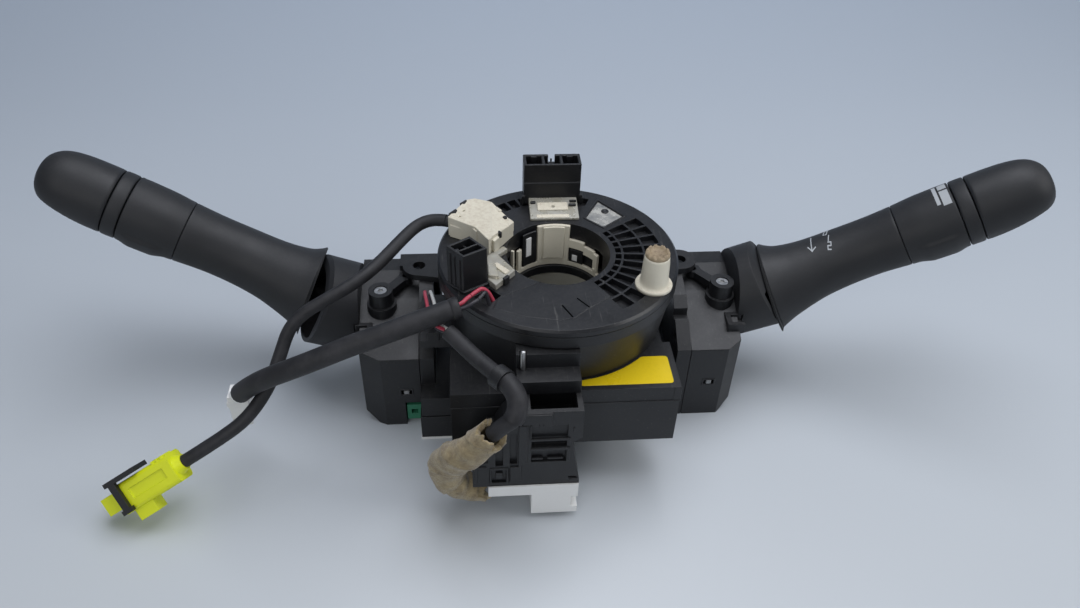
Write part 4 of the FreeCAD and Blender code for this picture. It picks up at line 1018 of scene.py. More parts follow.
    def build_ring(self) -> None:
        """Pointer ring: a band with a shallow groove towards the collar."""
        profile = np.array([(0.6, 7.3), (0.1, 13.0), (0.0, 14.9), (0.25, 15.2), (0.8, 15.32), (3.0, 15.36),
                            (5.2, 15.3), (5.8, 15.2), (6.1, 14.95), (6.0, 13.0), (5.6, 7.3)])
        profile[:, 0] += self.collar_l + self.seam
        self.skin("ring_skin", self.turned(profile))

    def build_knob(self) -> None:
        """End knob: smooth bullet cut by a slanted thumb facet whose edge is rounded."""
        start = self.collar_l + self.ring_l + 2 * self.seam
        keys = np.array([(0.0, 15.3), (8.0, 15.2), (14.0, 14.95), (19.0, 14.4), (23.0, 13.5), (26.0, 12.2),
                         (28.4, 10.4), (30.2, 8.2), (31.2, 6.0), (31.75, 3.6), (31.95, 0.8)])
        lip = np.array([(0.5, 7.3), (0.0, 13.5), (0.0, 14.8), (0.12, 15.15)])
        profile = np.concatenate([lip, smooth_rows(keys, 110)[2:]])
        phi = self.angles()[None, :]
        x = profile[:, :1]
        slope, roll, facet_at, facet_x = math.radians(13.0), math.radians(-25.0), 14.8, 3.0
        normal = np.array([math.sin(slope), 0.0, -math.cos(slope)])
        across = np.cos(phi) * math.sin(roll) * -normal[2] + np.sin(phi) * math.cos(roll) * normal[2]
        reach = facet_at * math.cos(slope) - (x - facet_x) * normal[0]
        plane = np.where(across > 0.05, reach / np.maximum(across, 0.05), 99.0)
        r = np.repeat(profile[:, 1:2], self.around, 1)
        dish = 0.35 * soft_step(r - plane, 0.0, 1.5)
        r = np.where(r > 0, soft_min(r, plane - dish, 0.3), r)
        r = np.maximum(r, np.minimum(profile[:, 1:2], 0.5))
        self.skin("knob_skin", self.grip_to_unit(round_x(np.repeat(x + start, self.around, 1), r, phi)))

    def build(self) -> None:
        """Build the whole lever."""
        for step in (self.build_stalk, self.build_neck, self.build_collar, self.build_ring, self.build_knob):
            step()


# ---------------- printed marks

@dataclass
class Prints:
    """Pale pad-printed marks on the right lever: an arrow, plain digits and two bars by the ring.

    The marks are drawn on a small flat sheet and wrapped on the lever's round surface.
    """

    lever: Lever
    kit: Kit
    stroke: float = 1.1
    ink: float = 0.07
    digit_w: float = 3.6
    digit_h: float = 6.4
    # place along the stalk and angle of the sheet's origin
    print_at: tuple[float, float] = (69.2, 61.9)

    def digit(self, segments: str, u: float, v: float) -> list[tuple[float, ...]]:
        """Strokes of one seven-stroke digit whose top left corner is at u, v; v runs downwards."""
        ends = {"a": (0, 0, 1, 0), "b": (1, 0, 1, 1), "c": (1, 1, 1, 2), "d": (0, 2, 1, 2), "e": (0, 1, 0, 2),
                "f": (0, 0, 0, 1), "g": (0, 1, 1, 1)}
        return [(u + a * self.digit_w, v + b * self.digit_h / 2, u + c * self.digit_w, v + d * self.digit_h / 2)
                for a, b, c, d in (ends[s] for s in segments)]

    def ribbon(self, stroke: tuple[float, ...]) -> tuple[Array, list[list[int]]]:
        """Fine strip along one stroke, as sheet points and faces."""
        start, end = np.array(stroke[:2], float), np.array(stroke[2:], float)
        way = (end - start) / np.linalg.norm(end - start)
        across = np.array([-way[1], way[0]]) * self.stroke / 2
        t = np.linspace(-0.08, 1.08, 9)[:, None]
        line = start + (end - start) * t
        grid = np.stack([line - across, line, line + across], 1)
        return grid.reshape(-1, 2), lay_faces(9, 3).tolist()

    def wrap_stalk(self, sheet: Array) -> Array:
        """Wrap sheet points on the stalk just before the collar, in the unit's frame."""
        u, v = sheet.T
        along = self.print_at[0] + 0.381 * u - 0.193 * v
        phi = np.radians(self.print_at[1] + 0.61 * u + 2.41 * v)
        rows = smooth_rows(np.array(self.lever.sections), 400)
        row = np.stack([np.interp(along, rows[:, 0], rows[:, k]) for k in range(6)], 1)
        centre, _, side, up = stalk_frames(row)
        return self.lever.to_unit(rings_of(centre, row[:, 3:4] + self.ink, side, up, phi[:, None])[:, 0])

    def bar_on_collar(self, x0: float, x1: float, start: float, end: float) -> Shape:
        """Rectangle of ink round part of the collar, between two places and two angles."""
        x, phi = np.meshgrid(np.linspace(x0, x1, 6), np.radians(np.linspace(start, end, 24)))
        r = np.interp(x, (0.0, 9.0, 14.0, 25.6), (14.45, 15.15, 15.3, 15.3)) + self.lever.pad_swell(x, phi)
        r += self.ink
        return Shape(self.lever.grip_to_unit(round_x(x, r, phi)).reshape(-1, 3), lay_faces(24, 6).tolist())

    def build(self) -> None:
        """Lay every mark on the lever."""
        strokes = [(-2.0, 4.0, 0.0, 18.0), (-4.5, 15.0, 0.0, 18.5), (4.0, 15.0, 0.0, 18.5)]
        strokes += self.digit("abcdef", 12.0, -4.0) + self.digit("bc", 15.0, 3.5) + self.digit("abged", 18.0, 11.0)
        shapes = []
        for stroke in strokes:
            sheet, faces = self.ribbon(stroke)
            shapes.append(Shape(self.wrap_stalk(sheet), faces))
        self.kit.add("right_stalk_print", shapes, "right_lever", Finish.PAD_INK, smooth=True)
        bars = [self.bar_on_collar(18.6, 20.2, 62.0, 112.0), self.bar_on_collar(21.0, 24.6, 60.0, 80.0),
                self.bar_on_collar(21.0, 24.6, 84.0, 116.0)]
        self.kit.add("right_collar_print", bars, "right_collar", Finish.PAD_INK, smooth=True)


# ---------------- what stands on the rotor

@dataclass
class RotorTop:
    """Sockets, retainers, drive pin, hub sleeve and lead plug that turn with the rotor disc."""

    kit: Kit
    deck: float = 88.3
    hub_r: float = 22.48
    pin_at: tuple[float, float] = (37.4, -24.5)
    side_corners: tuple[tuple[float, float], ...] = ((-47.3, -19.4), (-40.7, -27.2), (-31.0, -21.6), (-37.8, -13.0))
    window_corners: tuple[tuple[float, float], ...] = ((14.9, 25.5), (22.4, 39.4), (32.3, 26.4), (22.1, 18.1))

    def add(self, name: str, shapes: Iterable[Shape], finish: Finish, node: str = "", smooth: bool = False) -> None:
        """Add one piece that rides on the rotor."""
        self.kit.add(name, shapes, "rotor", finish, node, smooth)

    def keyed_cell(self, x: float) -> list[tuple[float, float]]:
        """Opening of one socket cell with a key ridge on its back wall."""
        front, back, key = 40.1, 47.0, 46.1
        return [(x, front), (x + 7.0, front), (x + 7.0, back), (x + 4.8, back), (x + 4.8, key), (x + 2.2, key),
                (x + 2.2, back), (x, back)]

    def build_rear_socket(self) -> None:
        """Tall three-cell socket: foot, cells, window in the back wall, creased front and side ears."""
        cells = [self.keyed_cell(x) for x in (-11.3, -3.0, 5.3)]
        left, right, front, back = -12.6, 13.6, 38.9, 48.6
        gap_left, gap_right, cell_back, cell_front = -1.0, 2.0, 47.0, 40.1
        window = [(left, front), (right, front), (right, back), (gap_right, back), (gap_right, cell_back),
                  (4.0, cell_back), (4.0, cell_front), (-3.0, cell_front), (-3.0, cell_back), (gap_left, cell_back),
                  (gap_left, back), (left, back)]
        wedge = slab([(38.95, self.deck), (38.95, 99.4), (38.5, 98.9), (38.0, self.deck)], left + 0.15, right - 0.15,
                     edge=0.1).along_x()
        ribs = [bar(x, x + 0.8, back - 0.1, back + 0.7, self.deck, 106.0) for x in (-9.0, 0.1, 9.2)]
        ears = [bar(x0, x1, 37.6, 42.0, self.deck, 91.6) for x0, x1 in ((left - 1.6, left + 0.4),
                                                                        (right - 0.4, right + 1.6))]
        ears += [bar(x0, x1, 37.2, 38.8, 91.0, 93.2) for x0, x1 in ((left - 0.9, left + 0.6),
                                                                    (right - 0.6, right + 0.9))]
        self.add("rear_socket_body", [slab(rectangle(left, right, front, back), self.deck, 92.3),
                                      slab(rectangle(left, right, front, back), 92.0, 104.6, cells),
                                      slab(window, 104.3, 108.5, [cells[0], cells[2]]), wedge, *ribs, *ears],
                 Finish.BLACK_NYLON, "rear_socket")

    def build_rear_retainer(self) -> None:
        """Clear wedge with a pale strip under it, a pale bar with a sight hole and a dark latch."""
        wedge = slab([(38.9, self.deck), (38.9, 91.5), (35.0, 91.5), (24.0, 89.5), (24.0, self.deck)], -10.4, 11.8,
                     edge=0.15).along_x()
        self.add("rear_retainer_clear", [wedge], Finish.CLEAR_RETAINER, "rear_retainer")
        slope = (11.0 / 11.18, 2.0 / 11.18)
        tilted = dict(origin=(0.0, 24.0, 89.5), x_way=(1, 0, 0), y_way=(0, slope[0], slope[1]),
                      z_way=(0, -slope[1], slope[0]))
        top = [slab(rectangle(-6.8, 7.2, 5.2, 10.2), -0.2, 0.5, [circle(0.4, 7.4, 0.8)]),
               slab(rectangle(-7.6, 7.4, 0.4, 2.6), -0.2, 0.3)]
        self.add("rear_retainer_bar", [s.placed(**tilted) for s in top], Finish.CREAM_NYLON)
        latch = [bar(7.6, 11.0, 7.6, 8.8, -0.2, 1.0), bar(8.2, 11.4, 10.2, 11.0, -0.2, 1.2),
                 bar(-9.8, -7.4, 9.6, 11.0, -0.2, 0.8)]
        self.add("rear_retainer_latch", [s.placed(**tilted) for s in latch], Finish.BLACK_NYLON)

    def build_window(self) -> None:
        """Raised frame round the smoked window and the dark screw seen in it."""
        corners = np.array(self.window_corners)[::-1]
        grown = inset_loop(corners if loop_area(corners) > 0 else corners[::-1], -1.0)
        self.add("neutral_window_frame", [slab(grown, self.deck - 0.2, self.deck + 0.35, [self.window_corners])],
                 Finish.ROTOR_ACETAL)
        screw = lathe([(0.02, 87.6), (1.7, 87.6), (1.7, 88.2), (1.3, 88.4), (0.9, 88.35), (0.7, 88.0),
                       (0.02, 88.0)], 24)
        self.add("neutral_window_mark", [screw.moved(24.6, 31.2)], Finish.BLACK_NYLON, smooth=True)

    def build_sector(self) -> None:
        """Wide cover plate in front of the hub with two narrow slits at its front edge."""
        inner = [(22.75 * math.cos(a), 22.75 * math.sin(a)) for a in np.radians(np.linspace(301.0, 246.0, 19))]
        outline = inner + [(-27.2, -30.4), (-29.2, -36.5), (-16.6, -42.4), (-2.6, -45.3), (2.5, -43.9), (10.0, -37.6),
                           (18.8, -31.3)]
        slits = []
        for start, end in (((-1.8, -35.7), (1.9, -43.4)), ((4.7, -31.6), (9.2, -37.6))):
            first, last = np.array(start), np.array(end)
            way = last - first
            side = np.array([-way[1], way[0]]) / np.linalg.norm(way) * 0.28
            slits.append([first - side, last - side, last + side, first + side])
        plate = slab(outline, 87.1, self.deck + 0.12, slits, edge=0.15)
        self.add("sector_plate", [plate], Finish.ROTOR_ACETAL, "sector_cover")

    def build_sleeve(self) -> None:
        """Pale sleeve in the hub: ring, tall back panel with a proud centre, stepped arm and small posts."""
        r1, r0 = self.hub_r, self.hub_r - 1.5
        ring = slab(circle(0, 0, r1, 72), 66.0, 68.4, [circle(0, 0, r0, 72)], radius=0.1)
        # inner and outer radius, first and last angle, lower and upper height
        walls = ((r0, r1, 70.0, 110.0, 68.2, 87.8), (r0 - 0.7, r0 + 0.3, 76.0, 103.0, 70.0, 87.2),
                 (r0, r1, 50.0, 70.5, 76.0, 80.6), (r0, r1, 34.0, 50.6, 74.4, 79.0), (r0, r1, 27.0, 34.6, 67.8, 78.2),
                 (r0 - 0.5, r0 + 0.2, 29.0, 33.0, 68.0, 70.6), (r0, r1, 134.0, 141.0, 68.2, 79.0),
                 (r0, r1, 160.0, 172.0, 68.2, 74.0), (r0, r1, 150.0, 153.5, 68.2, 82.0))
        shell = [ring] + [slab(sector(*wall[:4]), *wall[4:]) for wall in walls]
        self.add("sleeve_shell", shell, Finish.CREAM_NYLON, "cancel_sleeve")
        self.add("sleeve_window_plates", [slab(sector(r0 - 0.1, r0 + 0.8, 111.5, 132.0), 68.6, 86.0),
                                          slab(sector(r0 - 0.1, r0 + 0.8, 50.5, 69.0), 68.6, 75.4)],
                 Finish.BLACK_NYLON)
        self.add("sleeve_windows", [slab(sector(r0 - 0.4, r0, 119.5, 127.5), 73.6, 83.6, edge=0.1),
                                    slab(sector(r0 - 0.4, r0, 58.0, 65.0), 69.6, 72.8, edge=0.1)],
                 Finish.WHITE_PBT)

    def build_drive_pin(self) -> None:
        """Drive pin: dished flange, tapering body and a stained crown with ten teeth."""
        ring = [(0.02, 88.3), (7.7, 88.3), (7.75, 89.3), (7.45, 89.8), (6.7, 89.75), (6.15, 90.0), (5.85, 90.8),
                (5.72, 92.5), (5.6, 96.0), (5.45, 100.0), (5.2, 102.6), (5.05, 103.6), (0.02, 103.6)]
        crown = [(0.02, 103.2), (4.9, 103.2), (5.05, 103.7), (4.95, 104.9), (4.6, 105.7), (4.1, 105.9), (3.7, 105.5),
                 (3.5, 104.6), (2.2, 104.2), (0.02, 104.1)]

        def teeth(r: Array, phi: Array) -> Array:
            """Lift of the crown's surface: ten uneven gaps in its rim."""
            gap = soft_step(np.cos(10 * phi + 0.6 * np.sin(3 * phi)), -0.2, 0.3)
            return -0.75 * gap * soft_step(r, 3.4, 3.9) * (1 - soft_step(r, 4.7, 5.0))

        for name, shape, finish in (("body", lathe(ring, 64), Finish.CREAM_NYLON),
                                    ("crown", lathe(crown, 120, teeth), Finish.WORN_NYLON)):
            self.add("drive_pin_" + name, [shape.moved(*self.pin_at)], finish, "drive_pin", True)

    def in_side_socket(self, u: float, v: float) -> tuple[float, float]:
        """Plan point of the side socket from its share along and across."""
        a, b, c, d = (np.array(p) for p in self.side_corners)
        point = (a * (1 - u) + b * u) * (1 - v) + (d * (1 - u) + c * u) * v
        return float(point[0]), float(point[1])

    def build_side_socket(self) -> None:
        """Square socket with two cells, foot flange and two upright ribs on its outer face."""
        def patch(u0: float, u1: float, v0: float, v1: float) -> list[tuple[float, float]]:
            """Corners of a patch of the socket's plan."""
            return [self.in_side_socket(u, v) for u, v in ((u0, v0), (u1, v0), (u1, v1), (u0, v1))]

        cells = [patch(0.11, 0.52, 0.11, 0.89), patch(0.6, 0.89, 0.11, 0.89)]
        whole = patch(0.0, 1.0, 0.0, 1.0)
        shapes = [slab(whole, self.deck, 92.0), slab(whole, 91.8, 107.0, cells),
                  slab(patch(-0.07, 1.07, -0.05, 1.05), self.deck, 89.7)]
        shapes += [slab(patch(u, u + 0.08, -0.05, 0.02), 90.0, 104.5, edge=0.1) for u in (0.2, 0.46, 0.78)]
        shapes += [slab(patch(0.3, 0.42, 0.12, 0.26), 92.0, 106.2, edge=0.1),
                   slab(patch(0.11, 0.52, 0.6, 0.68), 92.0, 104.6, edge=0.1)]
        self.add("side_socket_body", shapes, Finish.BLACK_NYLON, "side_socket")

    def build_side_retainer(self) -> None:
        """Clear stepped retainer by the side socket with a pale bar and a pale hinge strip."""
        outline = [(-30.8, -21.3), (-30.8, -5.0), (-26.5, -4.0), (-19.4, -15.6), (-27.8, -25.5)]
        step = [(-30.6, -20.6), (-30.6, -12.0), (-27.6, -12.0), (-26.4, -21.6)]
        self.add("side_retainer_clear", [slab(outline, self.deck, 91.2), slab(step, 91.0, 92.8)],
                 Finish.CLEAR_RETAINER, "side_retainer")
        bars = [slab([(-28.6, -12.6), (-26.8, -10.6), (-21.6, -16.8), (-23.6, -18.8)], 91.0, 91.9),
                slab([(-27.6, -21.8), (-29.0, -20.2), (-27.2, -19.0), (-26.0, -20.6)], 91.0, 91.8)]
        self.add("side_retainer_bars", bars, Finish.CREAM_NYLON)
        latch = [(-25.0, -21.4), (-22.8, -19.2), (-21.8, -20.2), (-24.0, -22.6)]
        self.add("side_retainer_latch", [slab(latch, self.deck, 91.8)], Finish.BLACK_NYLON)

    def build_lead_plug(self) -> None:
        """Pale angular plug of the thin lead: flat back, sloping nose, seals, side tabs and clear lip."""
        top, slope, slope_from = 98.0, 0.3, 28.4
        left = [(-47.2, 14.4), (-39.0, 27.7), (-35.2, 28.8), (-28.3, 26.0), (-28.3, -1.0), (-30.0, -3.4), (-35.5, 6.3)]
        right = [(-28.5, 26.0), (-27.8, 25.8), (-18.6, 12.7), (-28.5, -1.2)]
        nose = slab(right, self.deck, top, edge=0.25)
        ceiling = top - slope * np.maximum(nose.points[:, 0] + slope_from, 0.0)
        nose.points[:, 2] = np.minimum(nose.points[:, 2], ceiling)
        holes = [circle(-40.2, 19.0, 0.55), circle(-41.9, 14.6, 0.5)]
        tabs = [slab([(-20.4, 15.4), (-18.4, 12.6), (-20.6, 10.0), (-22.6, 12.6)], 91.0, 96.0),
                slab([(-25.4, 22.6), (-23.4, 19.8), (-24.6, 18.8), (-26.8, 21.8)], 91.0, 97.4),
                slab([(-27.0, 3.2), (-25.2, 0.8), (-27.6, -2.4), (-29.6, 0.6)], self.deck, 96.4)]
        steps = [slab([(-46.6, 13.2), (-41.6, 10.4), (-40.6, 12.0), (-45.6, 15.0)], self.deck, 94.6),
                 slab([(-36.8, 7.0), (-35.2, 4.4), (-33.6, 5.2), (-35.2, 8.0)], self.deck, 97.0)]
        block = [slab(left, self.deck, top, holes), nose, *tabs, *steps]
        self.add("lead_plug_block", block, Finish.CREAM_NYLON, "lead_plug")
        # four corners, then the two heights
        seals = (((-42.0, 24.6), (-39.6, 24.2), (-38.6, 26.9), (-39.2, 27.6), (96.6, 98.15)),
                 ((-46.9, 16.8), (-43.6, 17.0), (-42.9, 19.4), (-43.8, 20.4), (96.6, 98.15)),
                 ((-22.2, 16.4), (-21.2, 15.0), (-22.4, 14.0), (-23.4, 15.4), (94.6, 96.9)),
                 ((-25.2, 4.6), (-24.0, 3.0), (-25.2, 2.0), (-26.4, 3.6), (94.6, 97.2)))
        self.add("lead_plug_seals", [slab(corners, *heights, edge=0.1) for *corners, heights in seals],
                 Finish.SEAL_RUBBER)
        lip = slab([(-30.2, -3.6), (-27.0, -1.0), (-23.6, 2.4), (-21.8, 0.2), (-28.4, -6.0)], self.deck, 90.6)
        self.add("lead_plug_lip", [lip], Finish.CLEAR_RETAINER)

    def build(self) -> None:
        """Build everything on the rotor."""
        for step in (self.build_rear_socket, self.build_rear_retainer, self.build_window, self.build_sector,
                     self.build_sleeve, self.build_drive_pin, self.build_side_socket, self.build_side_retainer,
                     self.build_lead_plug):
            step()


# ---------------- loom

@dataclass
class Loom:
    """Short wires, the tube cuff and the foam-wrapped loom of the unit itself."""

    kit: Kit
    seed: int = 7

    def wire(self, name: str, route: Sequence[Point], diameter: float, body: str, finish: Finish,
             node: str = "") -> None:
        """Lay one fixed wire or tube as a smooth curve."""
        self.kit.register(make_cord(name, route, diameter), body, finish, node)

    def build_rotor_wires(self) -> None:
        """Red and dark wires that rise from the disc and dive into the thick sheath."""
        red, dark = (1.7, Finish.RED_WIRE), (1.6, Finish.DARK_WIRE)
        routes = (
            ("rotor_wire_red", "rotor", red, ((-28.9, -31.4, 87.2), (-30.2, -31.2, 91.2), (-33.0, -31.3, 94.6),
                                              (-35.3, -32.4, 94.2), (-37.9, -34.7, 93.6))),
            ("rotor_wire_dark", "rotor", dark, ((-30.4, -34.2, 87.2), (-31.4, -33.8, 91.6), (-32.2, -33.8, 94.8),
                                                (-33.4, -35.6, 94.4), (-35.05, -37.6, 93.9))),
            ("sheath_wire_red", "housing", red, ((-38.2, -34.97, 93.6), (-39.7, -36.4, 93.6), (-41.2, -38.6, 93.2),
                                                 (-43.45, -39.6, 92.75))),
            ("sheath_wire_dark", "housing", dark, ((-35.32, -37.88, 93.9), (-36.8, -39.4, 93.9), (-40.0, -40.6, 92.6),
                                                   (-43.07, -41.3, 91.95))))
        for name, body, (diameter, finish), route in routes:
            self.wire(name, route, diameter, body, finish, name.split("_")[0] + "_wires")

    def build_base_wires(self) -> None:
        """Three thin wires side by side from the base to the lower tube."""
        route = np.array([(-57.2, 0.3, 61.95), (-57.1, -1.0, 68.8), (-56.4, -8.0, 72.8), (-55.0, -17.0, 75.2),
                          (-54.0, -26.5, 77.8), (-52.9, -35.5, 81.0), (-50.9, -42.2, 83.9), (-47.75, -44.9, 84.61)])
        spread = np.sin(np.linspace(0.0, math.pi, len(route)))[:, None]
        for name, finish, way in (("red", Finish.RED_WIRE, (-1.0, 0.2, 0.5)),
                                  ("white", Finish.WHITE_WIRE, (0.9, 0.0, 0.7)),
                                  ("dark", Finish.DARK_WIRE, (0.1, -0.4, -0.9))):
            shifted = route + np.array(way) * (0.75 + 0.9 * spread)
            self.wire("base_wire_" + name, [tuple(p) for p in shifted.tolist()], 1.5, "housing", finish, "base_wires")

    def build_cuff(self) -> None:
        """Wider heat-shrunk cuff where the lower tube bends down, and the open mouth of the sheath."""
        cuff = [(-25.6, -68.6, 79.25), (-23.2, -71.9, 78.9), (-21.4, -76.3, 76.3), (-22.0, -79.1, 72.9),
                (-23.6, -80.4, 70.4)]
        self.wire("tube_cuff", cuff, 8.0, "housing", Finish.VINYL_TUBE)
        start, after = (np.array(point) for point in Leads.thick_route[:2])
        a = (after - start) / np.linalg.norm(after - start)
        b = np.cross((0, 0, 1), a)
        b /= np.linalg.norm(b)
        ring = lathe([(3.3, 2.3), (4.2, 2.4), (4.5, 2.2), (4.45, -0.6), (4.1, -1.1), (3.6, -1.15), (3.3, -0.9),
                      (3.3, 1.0)], 40)
        self.kit.add("sheath_mouth", [ring.placed(start, b, np.cross(a, b), a)], "housing", Finish.VINYL_TUBE,
                     smooth=True)

    def build_foam(self) -> None:
        """Foam tape wound round the loom: overlapping turns, dents, bulges and torn ends."""
        route = np.array([(-31.55, -79.56, 61.89), (-37.2, -78.6, 54.8), (-44.0, -75.8, 46.0), (-48.8, -70.6, 36.5),
                          (-50.0, -68.0, 26.8), (-46.6, -66.9, 18.6), (-40.4, -66.0, 14.4), (-34.6, -65.3, 13.3)])
        rows, around, lap_pitch, mean_r, belly = 150, 96, 15.0, 5.5, 0.9
        line = smooth_rows(route, rows)
        way = unit_rows(np.gradient(line, axis=0))
        side = unit_rows(np.cross(way, np.array([0.25, 1.0, 0.1])))
        up = np.cross(side, way)
        length = np.concatenate([[0.0], np.cumsum(np.linalg.norm(np.diff(line, axis=0), axis=1))])
        s = length[:, None]
        phi = around_circle(around)[None, :]
        random = np.random.default_rng(self.seed)
        bump = np.zeros((rows, around))
        for _ in range(26):
            wave, turns, shift = random.uniform(0.1, 1.1), int(random.integers(0, 6)), random.uniform(0, 6.28)
            bump += random.uniform(0.3, 1.0) / (1 + wave * 1.5 + turns * 0.5) * np.sin(wave * s + turns * phi + shift)
        lap = (phi / TURN + s / lap_pitch) % 1.0
        share = s / length[-1]
        radius = mean_r + belly * np.sin(math.pi * share) + 0.28 * bump + 0.8 * lap ** 3
        radius = radius * (1 + 0.16 * np.cos(2 * phi) * np.sin(math.pi * share))
        torn = 1.5 * np.sin(3 * phi + 0.7) + 1.0 * np.sin(7 * phi) + 0.7 * np.sin(13 * phi + 2.0)
        near = np.exp(-(s / 5.0) ** 2) - np.exp(-((length[-1] - s) / 5.0) ** 2)
        radius = radius + 0.5 * np.exp(-(s / 3.0) ** 2)
        spot = rings_of(line, radius, side, up, phi)
        spot = spot - way[:, None] * (torn * near)[..., None] * 0.9
        inner = [line[i] + (spot[i] - line[i]) * f + way[i] * g for i, f, g in ((0, 0.86, -0.25), (0, 0.62, 0.9))]
        outer = [line[-1] + (spot[-1] - line[-1]) * f + way[-1] * g for f, g in ((0.86, 0.2), (0.3, -0.6))]
        grid = np.stack(inner[::-1] + list(spot) + outer)
        faces = lay_faces(len(grid), around, True)[:, ::-1].tolist()
        self.kit.add("foam_wrap", [Shape(grid.reshape(-1, 3), faces)], "housing", Finish.FOAM_TAPE,
                     "tape_wrap", True)

    def build(self) -> None:
        """Build the whole loom."""
        self.build_rotor_wires()
        self.build_base_wires()
        self.build_cuff()
        self.build_foam()


# ---------------- front

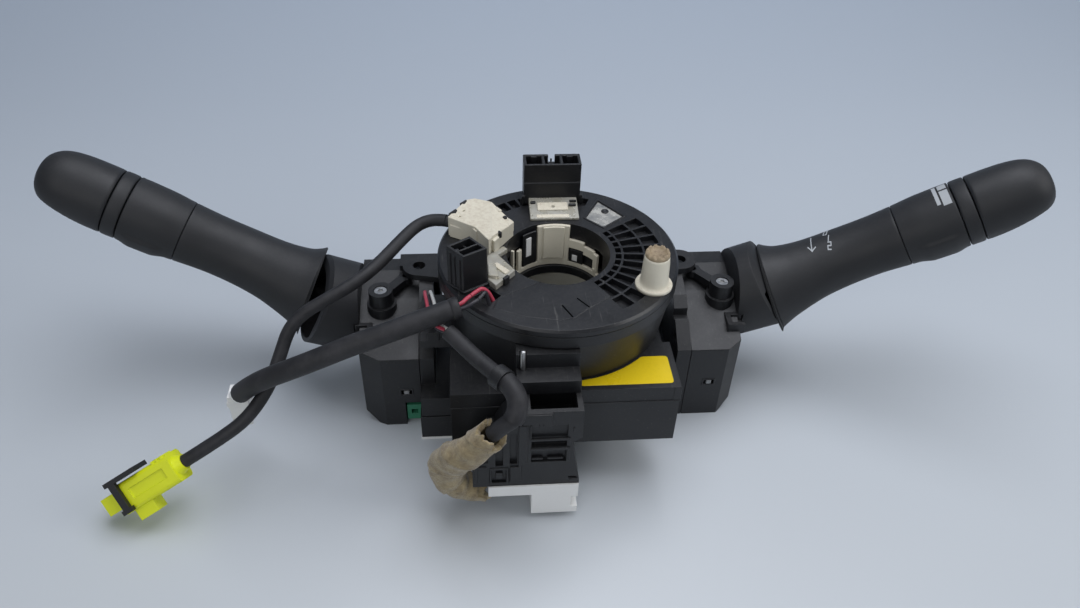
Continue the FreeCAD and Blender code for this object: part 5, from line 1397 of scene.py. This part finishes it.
@dataclass
class Front:
    """Details of the fixed front: connector face, label, sensor seam, pin and grey clips."""

    kit: Kit
    face_y: float = -72.0

    def build_connector(self) -> None:
        """Raised guides, latch plate, frames and slot ribs of the harness connector."""
        guide = [(-20.7, 58.4), (-20.7, 34.0), (-24.0, 34.0), (-24.0, 25.2), (-19.4, 25.2), (-19.4, 35.8),
                 (-17.1, 35.8), (-17.1, 58.4)]
        latch = [(-19.2, 59.4), (-19.2, 64.8), (-7.8, 64.8), (-7.8, 58.6), (-11.2, 58.6), (-11.2, 59.8), (-12.8, 59.8),
                 (-12.8, 58.6), (-15.4, 58.6), (-15.4, 59.4)]
        shapes = [slab(guide, -0.3, 0.7), slab(latch, 0.2, 1.5),
                  slab(rectangle(-32.4, -24.6, 23.4, 33.3), -0.3, 0.4, [rectangle(-31.6, -25.6, 24.2, 32.2)]),
                  bar(-30.0, -27.0, 26.2, 30.0, -1.2, 0.1), bar(-15.8, 0.2, 43.2, 44.6, -0.6, 0.5),
                  bar(-16.0, 0.0, 48.9, 50.2, -0.6, 0.6), bar(-15.4, -10.8, 37.0, 38.0, -1.6, -0.2),
                  bar(-9.0, -2.4, 37.0, 38.0, -1.6, -0.2), bar(-1.4, 0.2, 36.4, 43.6, -0.4, 0.35),
                  bar(0.8, 1.5, 53.4, 56.0, -0.2, 0.3), bar(0.6, 4.0, 23.6, 25.0, -0.2, 0.5),
                  bar(-38.8, -33.6, 33.2, 34.4, -0.2, 0.5), bar(-38.6, -37.4, 24.0, 33.4, -0.2, 0.4),
                  bar(-16.4, -15.6, 50.2, 58.4, -0.2, 0.6)]
        self.kit.add("connector_guides", [s.on_front(self.face_y) for s in shapes], "housing", Finish.BLACK_NYLON)

    def build_label(self) -> None:
        """Bare yellow label on the sensor's lid, cut back where the reel stands."""
        reel_clear_r, front, right = 48.4, -51.2, 44.8
        arc = [(reel_clear_r * math.cos(a), reel_clear_r * math.sin(a))
               for a in np.radians(np.linspace(-46.1, -83.1, 13))]
        outline = arc + [(5.8, front), (right, front), (right, -34.9)]
        film = slab(outline, 57.55, 57.78, edge=0.05, radius=1.6)
        self.kit.add("sensor_label", [film], "housing", Finish.LABEL_FILM)

    def build_sensor_seam(self) -> None:
        """Thin lip of the lid over the case, along the front and both ends."""
        low, high = 49.6, 50.15
        lip = [bar(-47.9, 47.9, -54.05, -53.5, low, high, 0.1), bar(47.4, 47.95, -54.0, -26.0, low, high, 0.1),
               bar(-47.95, -47.4, -54.0, -26.0, low, high, 0.1), bar(44.6, 47.7, -53.85, -53.5, 50.2, 57.5, 0.1)]
        self.kit.add("sensor_lid_lip", lip, "housing", Finish.BLACK_NYLON)

    def build_small_metal(self) -> None:
        """Bright pin in the slit of the front tower."""
        pin = lathe([(0.02, 70.9), (0.95, 70.9), (1.05, 71.3), (1.05, 80.3), (0.9, 80.8), (0.5, 81.0),
                     (0.02, 81.05)], 24)
        self.kit.add("tower_pin", [pin.moved(-18.3, -54.2)], "housing", Finish.ZINC_STEEL, smooth=True)

    def build_clips(self) -> None:
        """Grey snap noses in the windows of both switch cases and the frames round them."""
        for name, x in (("left", -68.9), ("right", 72.8)):
            nose = slab(rectangle(x - 1.2, x + 1.2, 20.3, 22.4), 0.0, 0.9, edge=0.25).on_front(-14.9)
            frame = slab(rectangle(x - 3.2, x + 3.2, 19.3, 23.5), 0.0, 0.35, [rectangle(x - 2.4, x + 2.4, 20.0, 22.8)],
                         edge=0.1).on_front(-15.3)
            self.kit.add(name + "_case_snap", [nose], "housing", Finish.GREY_PBT)
            self.kit.add(name + "_case_window_frame", [frame], "housing", Finish.BLACK_NYLON)

    def build(self) -> None:
        """Build every front detail."""
        self.build_connector()
        self.build_label()
        self.build_sensor_seam()
        self.build_small_metal()
        self.build_clips()


# ---------------- carried-over solids

NODES_OF: dict[Finish, str] = {
    Finish.COPPER_FOIL: "flat_cable", Finish.ROTOR_ACETAL: "rotor_disc sector_cover",
    Finish.SMOKE_WINDOW: "neutral_window", Finish.CREAM_NYLON: "cancel_sleeve drive_pin",
    Finish.CLEAR_RETAINER: "rear_retainer side_retainer",
    Finish.WHITE_PBT: "lead_plug sheath_plug white_connector left_socket_rim",
    Finish.VINYL_TUBE: "lead_stub base_wires lower_tube", Finish.RED_WIRE: "rotor_wires sheath_wires",
    Finish.FOAM_TAPE: "tape_wrap", Finish.GREEN_PBT: "left_contact_plate", Finish.YELLOW_PBT: "yellow_plug",
    Finish.ZINC_STEEL: "post_screws", Finish.BOARD_LACQUER: "sensor_board",
    Finish.INNER_ACETAL: "sensor_main_gear sensor_gear_a sensor_gear_b",
    Finish.GRAINED_ABS: " ".join(f"{hand.value}_{part}" for hand in Hand
                                 for part in ("stalk", "collar", "ring", "knob", "cowl")),
}


def dress_nodes(frame: dict[str, Any], wardrobe: Wardrobe) -> None:
    """Give every carried-over solid its finish; the rest are black nylon."""
    finish_of = {name: finish for finish, names in NODES_OF.items() for name in names.split()}
    for name, node in frame["nodes"].items():
        wardrobe.dress(node, finish_of.get(name, Finish.BLACK_NYLON))


def main() -> None:
    """Load the frame, build every sub-assembly, and log the name of every shown piece."""
    logging.basicConfig(level=logging.INFO, format="%(name)s: %(message)s")
    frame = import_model()
    wardrobe = Wardrobe()
    Studio().build()
    dress_nodes(frame, wardrobe)
    kit = Kit(wardrobe)
    Leads(frame, kit).build()
    for hand in Hand:
        lever = Lever(hand, kit)
        lever.build()
        if hand is Hand.RIGHT:
            Prints(lever, kit).build()
    RotorTop(kit).build()
    Loom(kit).build()
    Front(kit).build()
    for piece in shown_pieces():
        LOG.info("piece %s", piece.name)


if __name__ == "__main__":
    main()
